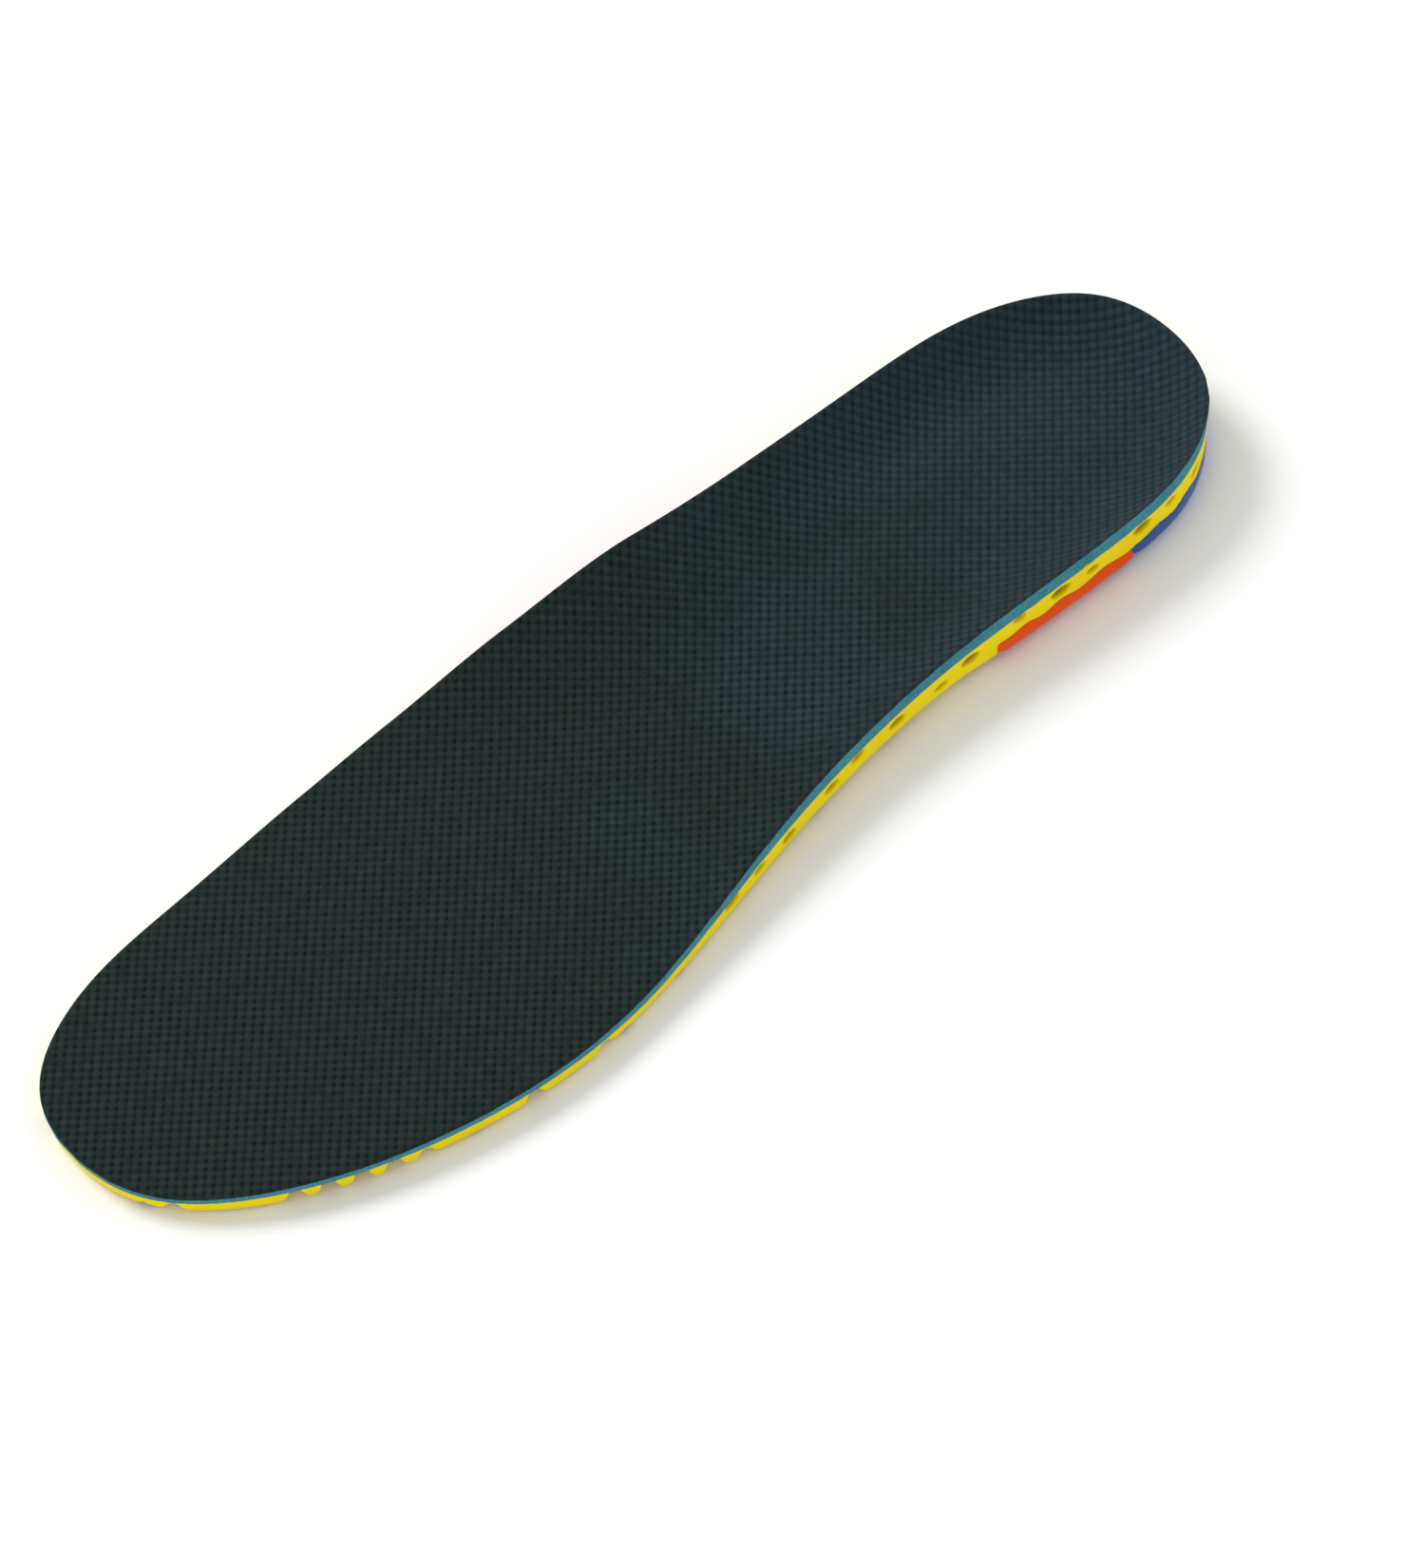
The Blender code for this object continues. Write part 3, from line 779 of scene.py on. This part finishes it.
def surface_net(field, low, step):
    """Points and quads of the surface where a field on a grid is zero; the solid is negative."""
    inside = field < 0
    corners = sum(part[..., 1:] + part[..., :-1] for part in cell_corners(inside.astype(np.int8)))
    mixed = (corners > 0) & (corners < 8)
    cells = np.argwhere(mixed)
    number = np.full(mixed.shape, -1)
    number[mixed] = np.arange(len(cells))
    total, hits = np.zeros((len(cells), 3)), np.zeros(len(cells))
    for axis in range(3):
        others = [k for k in range(3) if k != axis]
        for shift in RING:
            start = cells.copy()
            start[:, others] += shift
            end = start.copy()
            end[:, axis] += 1
            a, b = field[tuple(start.T)], field[tuple(end.T)]
            crossing = (a < 0) != (b < 0)
            point = start[crossing].astype(float)
            point[:, axis] += a[crossing] / (a[crossing] - b[crossing])
            total[crossing] += point
            hits += crossing
    quads = []
    for axis in range(3):
        edges = np.argwhere(np.diff(inside, axis=axis))
        ring = []
        for back in RING:
            cell = edges.copy()
            cell[:, [(axis + 1) % 3, (axis + 2) % 3]] -= back
            ring.append(number[tuple(cell.T)])
        quad = np.stack(ring, 1)
        flip = ~inside[tuple(edges.T)]
        quad[flip] = quad[flip, ::-1]
        quads.append(quad)
    return np.asarray(low) + step * total / hits[:, None], np.vstack(quads)


def fill_crossings(field):
    """Fills the grid's faces whose corners alternate, where two sheets would share an edge."""
    for first, second in ((0, 1), (0, 2), (1, 2)):
        corners = cell_corners(field, first, second)
        solid = [corner < 0 for corner in corners]
        crossed = (solid[0] == solid[2]) & (solid[1] == solid[3]) & (solid[0] != solid[1])
        for corner in corners:
            corner[crossed] = np.minimum(corner[crossed], -CROSSING_FILL)


def settle(points):
    """Moves points onto the base's true surface, by its field and the field's slope."""
    def field_at(places):
        return cut_side_pits(base_field(column_values(*places.T[:2]), places[:, 2]), *places.T)

    shifts = SETTLE_REACH * np.eye(3)
    slope = np.stack([field_at(points + shift) - field_at(points - shift) for shift in shifts], 1)
    slope /= 2 * SETTLE_REACH
    move = slope * (field_at(points) / np.maximum(np.sum(slope**2, 1), 0.2))[:, None]
    return points - np.clip(move, -SETTLE_LIMIT * VOXEL, SETTLE_LIMIT * VOXEL)


def make_foam_base():
    """The foam with all its holes and pits, from a field on a fine grid."""
    low = (*(LOWEST - FIELD_MARGIN), FIELD_HEIGHTS[0])
    size = np.subtract((*(HIGHEST + FIELD_MARGIN), FIELD_HEIGHTS[1]), low)
    axes = [low[axis] + VOXEL * np.arange(int(size[axis] / VOXEL)) for axis in range(3)]
    across, along = np.meshgrid(axes[0], axes[1], indexing="ij")
    column = column_values(across, along)
    field = np.stack([base_field(column, z) for z in axes[2]], -1)
    field = cut_side_pits(field, *np.meshgrid(*axes, indexing="ij"))
    for _ in range(3):
        fill_crossings(field)
    points, quads = surface_net(field, low, VOXEL)
    points = settle(points)
    piece = make_object("perforated_base", points, [quads[:, ::-1]])
    # How deep each point lies in a hole or pit, which sets the painted shade there.
    depth = -whole_foam(column_values(*points.T[:2]), points[:, 2])
    keep_number(piece.data, "hole_shade", np.clip(depth / HOLE_SHADE_DEPTH, 0, 1))
    decimate(piece, min(1.0, BASE_FACES / (2 * len(quads))))
    score_bend(piece)
    return piece


# ---------------------------------------------------------------- arch plate and heel pad

def ridge(distance, width, height):
    """A rounded ridge, by the distance from its middle line."""
    return height * smoothstep(1 - np.abs(distance) / width)


def arc_rib(across, along, centre, radii, start, end):
    """A raised line along part of an ellipse; the ends are angles in degrees from +across."""
    x, y = (across - centre[0]) / radii[0], (along - centre[1]) / radii[1]
    radius = np.hypot(x, y)
    angle = np.degrees(np.arctan2(y, x)) % 360
    distance = (radius - 1) * min(radii)
    fade = smoothstep((angle - start) / RIB_FADE) * smoothstep((end - angle) / RIB_FADE)
    return ridge(distance, RIB_WIDTH, RIB_HEIGHT) * fade


def line_rib(across, along, start, end, width=RIB_WIDTH, height=RIB_HEIGHT):
    """A raised straight line with round ends."""
    start, run = np.asarray(start, float), np.subtract(end, start)
    share = np.clip(((across - start[0]) * run[0] + (along - start[1]) * run[1]) / (run @ run), 0, 1)
    distance = np.hypot(across - start[0] - share * run[0], along - start[1] - share * run[1])
    return ridge(distance, width, height)


PLATE_ARCS = (
    ((24.5, 107), (25.0, 36.0), 118, 236), ((24.5, 107), (18.8, 29.0), 112, 240),
    ((-58, 92), (39.5, 60.0), -24 % 360, 360), ((-58, 92), (39.5, 60.0), 0, 24),
)
PLATE_LINES = (
    ((-1.5, 126), (5.5, 122)), ((-1.2, 106.5), (5.4, 106.5)), ((0.2, 85), (7.4, 89.5)),
    ((-24.0, 84), (-18.8, 82)), ((-24.0, 101), (-18.8, 102)),
)


def plate_relief(across, along):
    ribs = [arc_rib(across, along, *arc) for arc in PLATE_ARCS]
    ribs += [line_rib(across, along, *line) for line in PLATE_LINES]
    return np.max(ribs, axis=0)


def plate_inset(across, along):
    """How far a place lies inside the plate's own outline and outside the pad's."""
    return np.minimum(lookup(PLATE_MAP, across, along), -lookup(PAD_MAP, across, along) - 2 * SEAM)


def plate_region(across, along):
    return np.minimum(plate_inset(across, along), edge_distance(across, along) - 0.02)


def plate_sole(across, along):
    """The plate's underside with its ribs, rounded where it ends inside the insole."""
    edge = PLATE_EDGE_ROUND * np.clip(1 - plate_inset(across, along) / (2 * PLATE_EDGE_ROUND), 0, 1) ** 2
    return sole_height(across, along) + edge - plate_relief(across, along)


def make_arch_plate():
    piece, _ = slab(
        "moulded_plate", plate_region, plate_sole, plate_top, PLATE_STEP, rows=6, proud=PLATE_PROUD,
    )
    keep_relief(piece, plate_relief)
    return piece


def heel_groove(across, along):
    """A groove close to the heel's edge, crossed by lugs."""
    turn = np.arctan2(along - PAD_CENTRE[1], across - PAD_CENTRE[0])
    lugs = smoothstep(0.1 + np.cos(turn * LUGS))
    rear = smoothstep((GROOVE_FRONT[0] - along) / GROOVE_FRONT[1])
    groove = ridge(edge_distance(across, along) - GROOVE_INSET, GROOVE_WIDTH, 1.0)
    return GROOVE_DEPTH * rear * groove * (1 - 0.8 * lugs)


def pad_region(across, along):
    return np.minimum(lookup(PAD_MAP, across, along), edge_distance(across, along) - 0.02)


def pad_relief(across, along):
    """Ripples, four short ticks with round ends and the groove at the heel's edge."""
    x, y = across - PAD_CENTRE[0], along - PAD_CENTRE[1]
    radius = np.hypot(x, y)
    fade = smoothstep((radius - RIPPLE_SPAN[0]) / 6) * smoothstep((RIPPLE_SPAN[1] - radius) / 8)
    fade *= smoothstep((8 - y) / 14)
    ticks = []
    for turn in np.radians(TICK_TURNS):
        direction = np.array([math.cos(turn), math.sin(turn)])
        start, end = (PAD_CENTRE + direction * far for far in TICK_SPAN)
        ticks.append(line_rib(across, along, start, end, 0.7, TICK_HEIGHT))
        ticks.append(line_rib(across, along, end, end + direction * 0.5, 1.3, TICK_HEIGHT))
    ripples = RIPPLE_HEIGHT * fade * np.sin(2 * math.pi * radius / RIPPLE_SPACING)
    return np.max(ticks, axis=0) + ripples - heel_groove(across, along)


def pad_sole(across, along):
    """The pad's underside, flat on the floor in the middle and crowned at the edge."""
    margin = pad_region(across, along)
    own = lookup(PAD_MAP, across, along)
    crown = PAD_EDGE_ROUND * np.clip(1 - margin / PAD_EDGE_WIDTH, 0, 1) ** 2
    lip = PAD_LIP * np.clip(1 - own, 0, 1) ** 2
    return PAD_FLOOR + crown + lip - pad_relief(across, along)


def make_heel_pad():
    piece, _ = slab("moulded_pad", pad_region, pad_sole, pad_top, PAD_STEP, rows=5, proud=0.15)
    keep_relief(piece, pad_relief)
    return piece


# ---------------------------------------------------------------- materials

class Graph:
    """A short way to write a material's nodes."""

    def __init__(self, name):
        self.material = bpy.data.materials.new(name)
        self.material.use_nodes = True
        self.tree = self.material.node_tree
        self.shader = self.tree.nodes["Principled BSDF"]

    def add(self, kind, **settings):
        made = self.tree.nodes.new("ShaderNode" + kind)
        for key, value in settings.items():
            setattr(made, key, value)
        return made

    def feed(self, socket, value):
        if isinstance(value, bpy.types.NodeSocket):
            self.tree.links.new(value, socket)
        else:
            socket.default_value = value

    def rest(self):
        """Places at rest, in millimetres."""
        return self.add("Attribute", attribute_name="rest").outputs["Vector"]

    def measure(self, name):
        """A number that is stored on the mesh."""
        return self.add("Attribute", attribute_name=name).outputs["Fac"]

    def rib_flank_shade(self, height, reach):
        """How much painted shade falls on the flanks of a moulded line: up to 0.7 where its relief is near
        a height.
        """
        away = self.math("ABSOLUTE", self.math("SUBTRACT", self.measure("relief"), height))
        return self.span(away, 0.0, reach, 0.7, 0.0)

    def math(self, operation, first, second=0.0, third=0.0):
        made = self.add("Math", operation=operation)
        for socket, value in zip(made.inputs, (first, second, third)):
            self.feed(socket, value)
        return made.outputs[0]

    def along(self, direction):
        """The distance of the place at rest along a direction, in millimetres."""
        made = self.add("VectorMath", operation="DOT_PRODUCT")
        self.feed(made.inputs[0], self.rest())
        self.feed(made.inputs[1], direction)
        return made.outputs["Value"]

    def noise(self, scale, detail=3.0, roughness=0.55):
        """A noise whose scale is in cells to the millimetre."""
        made = self.add("TexNoise")
        self.feed(made.inputs["Vector"], self.rest())
        made.inputs["Scale"].default_value = scale
        made.inputs["Detail"].default_value = detail
        made.inputs["Roughness"].default_value = roughness
        return made.outputs["Fac"]

    def cells(self, scale):
        """Distance to the middle of small foam cells."""
        made = self.add("TexVoronoi")
        self.feed(made.inputs["Vector"], self.rest())
        made.inputs["Scale"].default_value = scale
        return made.outputs["Distance"]

    def span(self, value, low, high, new_low=0.0, new_high=1.0):
        made = self.add("MapRange")
        for socket, number in zip(made.inputs, (value, low, high, new_low, new_high)):
            self.feed(socket, number)
        return made.outputs[0]

    def mix(self, share, first, second):
        made = self.add("Mix", data_type="RGBA")
        self.feed(made.inputs["Factor"], share)
        for socket, colour in zip((made.inputs[6], made.inputs[7]), (first, second)):
            self.feed(socket, colour if isinstance(colour, bpy.types.NodeSocket) else (*colour, 1))
        return made.outputs[2]

    def ramp(self, value, low, high, first, second, most=1.0):
        """The first colour up to a low value, and from a high one the second, mixed in up to most."""
        return self.mix(self.span(value, low, high, 0.0, most), first, second)

    def bump(self, height, distance, strength):
        made = self.add("Bump")
        made.inputs["Strength"].default_value = strength
        made.inputs["Distance"].default_value = distance
        self.feed(made.inputs["Height"], height)
        return made.outputs[0]

    def finish(self, **sockets):
        for name, value in sockets.items():
            self.feed(self.shader.inputs[name.replace("_", " ")], value)
        return self.material


def weave_waves(graph):
    """The two groove waves of the weave, from 0 on a thread to 1 between threads."""
    cos, sin = math.cos(WEAVE_TURN), math.sin(WEAVE_TURN)
    turn = 2 * math.pi / WEAVE_PITCH
    wobble = graph.span(graph.noise(0.05, 2.0), 0, 1, -0.6, 0.6)
    waves = []
    for direction in ((cos, -sin, 0), (-sin, -cos, 0)):
        phase = graph.math("MULTIPLY_ADD", graph.along(direction), turn, wobble)
        waves.append(graph.math("MULTIPLY_ADD", graph.math("COSINE", phase), 0.5, 0.5))
    return waves


def cover_material():
    """A dark green-black open weave: grey-green threads and a little fuzz, with painted shade that makes
    the pores near-black and darkens the grooves between threads, and a painted grey-blue sheen towards the
    heel.
    """
    graph = Graph("woven_cover")
    wave_u, wave_v = weave_waves(graph)
    long_pore = graph.math("MULTIPLY", graph.math("POWER", wave_u, 0.75), graph.math("POWER", wave_v, 1.9))
    uneven = graph.span(graph.noise(0.75, 2.0), 0.32, 0.66, 0.25, 1.05)
    heelwards = graph.along((0, 1, 0))
    # painted sheen: the pores grow paler towards the heel
    heel_sheen_fade = graph.span(heelwards, 0, 110, 1.0, 0.55)
    pore = graph.math("MULTIPLY", graph.math("MULTIPLY", long_pore, uneven), heel_sheen_fade)
    groove = graph.math("MAXIMUM", wave_u, wave_v)
    fibres = graph.noise(5.5, 4.0, 0.75)
    # the threads' tone wanders at random and, as painted sheen, turns a lighter grey-blue towards the heel
    cloud = graph.math("MULTIPLY_ADD", heelwards, 0.0030, graph.noise(0.035, 3.0, 0.5))
    strand = graph.span(graph.math("MULTIPLY_ADD", graph.noise(0.6, 2.0), 0.8, fibres), 0.66, 1.14)
    green = graph.mix(strand, (0.0095, 0.0175, 0.0160), (0.0220, 0.0340, 0.0315))
    blue = graph.mix(strand, (0.0140, 0.0270, 0.0350), (0.0285, 0.0475, 0.0610))
    thread = graph.ramp(cloud, 0.50, 0.82, green, blue)
    shaded = graph.ramp(groove, 0.35, 1.0, thread, (0.0070, 0.0135, 0.0135), 0.50)
    # painted shade: the pores darken to near-black
    pore_shaded = graph.ramp(pore, 0.08, 0.75, shaded, (0.0035, 0.0070, 0.0075), 0.9)
    relief = graph.math("MULTIPLY_ADD", pore, -1.0, graph.math("MULTIPLY", fibres, 0.35))
    rough = graph.span(fibres, 0.3, 0.7, 0.82, 0.95)
    return graph.finish(
        Base_Color=pore_shaded, Roughness=rough, Normal=graph.bump(relief, 0.00025, 0.8),
        Sheen_Weight=0.08, Sheen_Roughness=0.45, Sheen_Tint=(0.55, 0.72, 0.72, 1), Specular_IOR_Level=0.10,
    )


def teal_material():
    """Soft cut foam: open cells, a little fuzz and pale flecks."""
    graph = Graph("teal_soft_foam")
    cells = graph.cells(3.2)
    fuzz = graph.noise(4.0, 4.0, 0.7)
    cloud = graph.noise(0.15, 2.0)
    body = graph.ramp(cloud, 0.3, 0.7, (0.024, 0.245, 0.325), (0.042, 0.365, 0.440))
    flecked = graph.ramp(cells, 0.05, 0.45, body, (0.010, 0.110, 0.170), 0.55)
    coloured = graph.ramp(fuzz, 0.50, 0.68, flecked, (0.220, 0.560, 0.600), 0.75)
    relief = graph.math("MULTIPLY_ADD", fuzz, 0.7, cells)
    return graph.finish(
        Base_Color=coloured, Roughness=graph.span(fuzz, 0.3, 0.7, 0.72, 0.92),
        Normal=graph.bump(relief, 0.00030, 0.6), Sheen_Weight=0.04, Specular_IOR_Level=0.1,
    )


def yellow_material():
    """Moulded foam with a fine satin skin, and painted shade that darkens it to golden brown deep in its
    holes and pits.
    """
    graph = Graph("yellow_moulded_foam")
    skin = graph.noise(3.0, 4.0, 0.6)
    cells = graph.cells(2.2)
    cloud = graph.noise(0.06, 3.0)
    body = graph.ramp(cloud, 0.3, 0.7, (0.900, 0.680, 0.001), (0.950, 0.760, 0.002))
    coloured = graph.ramp(skin, 0.55, 0.8, body, (0.780, 0.520, 0.002), 0.35)
    # painted shade: the foam darkens to golden brown deep in its holes and pits
    shaded = graph.ramp(graph.measure("hole_shade"), 0.15, 1.0, coloured, (0.280, 0.175, 0.002), 0.9)
    relief = graph.math("MULTIPLY_ADD", cells, 0.5, skin)
    return graph.finish(
        Base_Color=shaded, Roughness=graph.span(skin, 0.3, 0.7, 0.48, 0.66),
        Normal=graph.bump(relief, 0.00012, 0.5), Subsurface_Weight=0.06, Subsurface_Radius=(1.0, 0.6, 0.1),
        Subsurface_Scale=0.0012, Specular_IOR_Level=0.12,
    )


def orange_material():
    """Satin moulded plastic with a fine grain, and painted shade on the flanks of its ribs."""
    graph = Graph("orange_moulded_plastic")
    grain = graph.noise(6.0, 2.0)
    cloud = graph.noise(0.05, 3.0)
    body = graph.ramp(cloud, 0.3, 0.7, (0.790, 0.062, 0.001), (0.860, 0.088, 0.002))
    # painted shade: the orange darkens on the flanks of the ribs
    rib_flank_shaded = graph.mix(graph.rib_flank_shade(0.25, 0.24), body, (0.520, 0.030, 0.001))
    return graph.finish(
        Base_Color=rib_flank_shaded, Roughness=graph.span(cloud, 0.3, 0.7, 0.36, 0.46),
        Normal=graph.bump(grain, 0.00004, 0.5), Subsurface_Weight=0.04, Subsurface_Radius=(1.0, 0.3, 0.1),
        Subsurface_Scale=0.0015, Specular_IOR_Level=0.14,
    )


def blue_material():
    """Soft moulded rubber foam, satin, with a fine sandy grain, and painted shade on the flanks of its
    moulded lines and in its heel groove.
    """
    graph = Graph("blue_gel_foam")
    grain = graph.noise(4.5, 4.0, 0.65)
    cloud = graph.noise(0.07, 3.0)
    body = graph.ramp(cloud, 0.3, 0.7, (0.011, 0.070, 0.300), (0.017, 0.098, 0.390))
    coloured = graph.ramp(grain, 0.6, 0.85, body, (0.035, 0.160, 0.480), 0.4)
    # painted shade: the blue darkens on the flanks of the moulded lines
    rib_flank_shaded = graph.mix(graph.rib_flank_shade(0.30, 0.22), coloured, (0.006, 0.036, 0.170))
    # painted shade: the blue darkens further in the sunken heel groove
    groove_shaded = graph.ramp(graph.measure("relief"), -0.10, -0.65, rib_flank_shaded, (0.006, 0.034, 0.160), 0.7)
    return graph.finish(
        Base_Color=groove_shaded, Roughness=graph.span(grain, 0.3, 0.7, 0.36, 0.50),
        Normal=graph.bump(grain, 0.00006, 0.5), Sheen_Weight=0.03, Specular_IOR_Level=0.3,
    )


def floor_material():
    graph = Graph("pale_floor")
    return graph.finish(Base_Color=(0.90, 0.90, 0.90, 1), Roughness=0.9, Specular_IOR_Level=0.1)


# ---------------------------------------------------------------- studio

def add_camera():
    """The camera, aimed a little beside the insole's middle and rolled about its axis."""
    cos_e, sin_e = math.cos(CAMERA_ELEVATION), math.sin(CAMERA_ELEVATION)
    back = Vector((math.sin(CAMERA_AZIMUTH) * cos_e, -math.cos(CAMERA_AZIMUTH) * cos_e, sin_e))
    level = Vector((0, 0, 1)).cross(back).normalized()
    rise = back.cross(level)
    cos_r, sin_r = math.cos(CAMERA_ROLL), math.sin(CAMERA_ROLL)
    right = level * cos_r - rise * sin_r
    up = level * sin_r + rise * cos_r
    aim = right * CAMERA_AIM_RIGHT + up * CAMERA_AIM_UP
    data = bpy.data.cameras.new("camera")
    data.lens = CAMERA_LENS
    data.sensor_width = 36.0
    data.clip_end = 50.0
    camera = bpy.data.objects.new("camera", data)
    place = Matrix((right, up, back)).transposed().to_4x4()
    place.translation = aim + back * CAMERA_DISTANCE
    camera.matrix_world = place
    bpy.context.scene.collection.objects.link(camera)
    bpy.context.scene.camera = camera


def add_soft_sun():
    """A far, wide light."""
    data = bpy.data.lights.new("key", "SUN")
    data.angle = math.radians(SUN_WIDTH)
    data.energy = SUN_STRENGTH
    lamp = bpy.data.objects.new("key", data)
    lamp.rotation_mode = "QUATERNION"
    lamp.rotation_quaternion = Vector(SUN_FROM).to_track_quat("Z", "Y")
    bpy.context.scene.collection.objects.link(lamp)


def add_white_world():
    """A white surround that gives a mild light and looks as bright as the floor."""
    world = bpy.data.worlds.new("white_studio")
    world.use_nodes = True
    tree = world.node_tree
    background = tree.nodes["Background"]
    background.inputs["Color"].default_value = (1, 1, 1, 1)
    path = tree.nodes.new("ShaderNodeLightPath")
    strength = tree.nodes.new("ShaderNodeMapRange")
    strength.inputs["To Min"].default_value = WORLD_LIGHT
    strength.inputs["To Max"].default_value = WORLD_LOOK
    tree.links.new(path.outputs["Is Camera Ray"], strength.inputs["Value"])
    tree.links.new(strength.outputs[0], background.inputs["Strength"])
    bpy.context.scene.world = world


def add_studio():
    add_white_world()
    bpy.context.scene.view_settings.view_transform = "Standard"
    add_soft_sun()
    corners = [(x * FLOOR_HALF, y * FLOOR_HALF, 0) for x, y in ((-1, -1), (1, -1), (1, 1), (-1, 1))]
    mesh = bpy.data.meshes.new("floor")
    mesh.from_pydata(corners, [], [(0, 1, 2, 3)])
    floor = bpy.data.objects.new("floor", mesh)
    floor.location.z = FLOOR_HEIGHT
    bpy.context.scene.collection.objects.link(floor)
    mesh.materials.append(floor_material())


# ---------------------------------------------------------------- assembly

def dress(piece, material, nodes):
    """Gives a finished mesh its rest places, smooth shading and material, and hides the plain parts that
    it stands for.
    """
    keep_rest_places(piece.data)
    piece.data.shade_smooth()
    piece.data.set_sharp_from_angle(angle=SMOOTH_ANGLE)
    piece.data.materials.clear()
    piece.data.materials.append(material)
    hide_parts(*nodes)


def build():
    cover, teal, base = make_cover(), make_teal_foam(), make_foam_base()
    plate, pad = make_arch_plate(), make_heel_pad()
    dress(cover, cover_material(), ("top_cover_rear", "top_cover_forefoot"))
    dress(teal, teal_material(), ("teal_foam_rear", "teal_foam_forefoot"))
    dress(base, yellow_material(), ("foam_base_rear", "foam_base_forefoot"))
    dress(plate, orange_material(), ("arch_plate",))
    dress(pad, blue_material(), ("heel_pad",))
    for layer in (cover, teal, base):
        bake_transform(layer)
    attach(plate, "rear")
    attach(pad, "rear")


add_camera()
add_studio()
build()
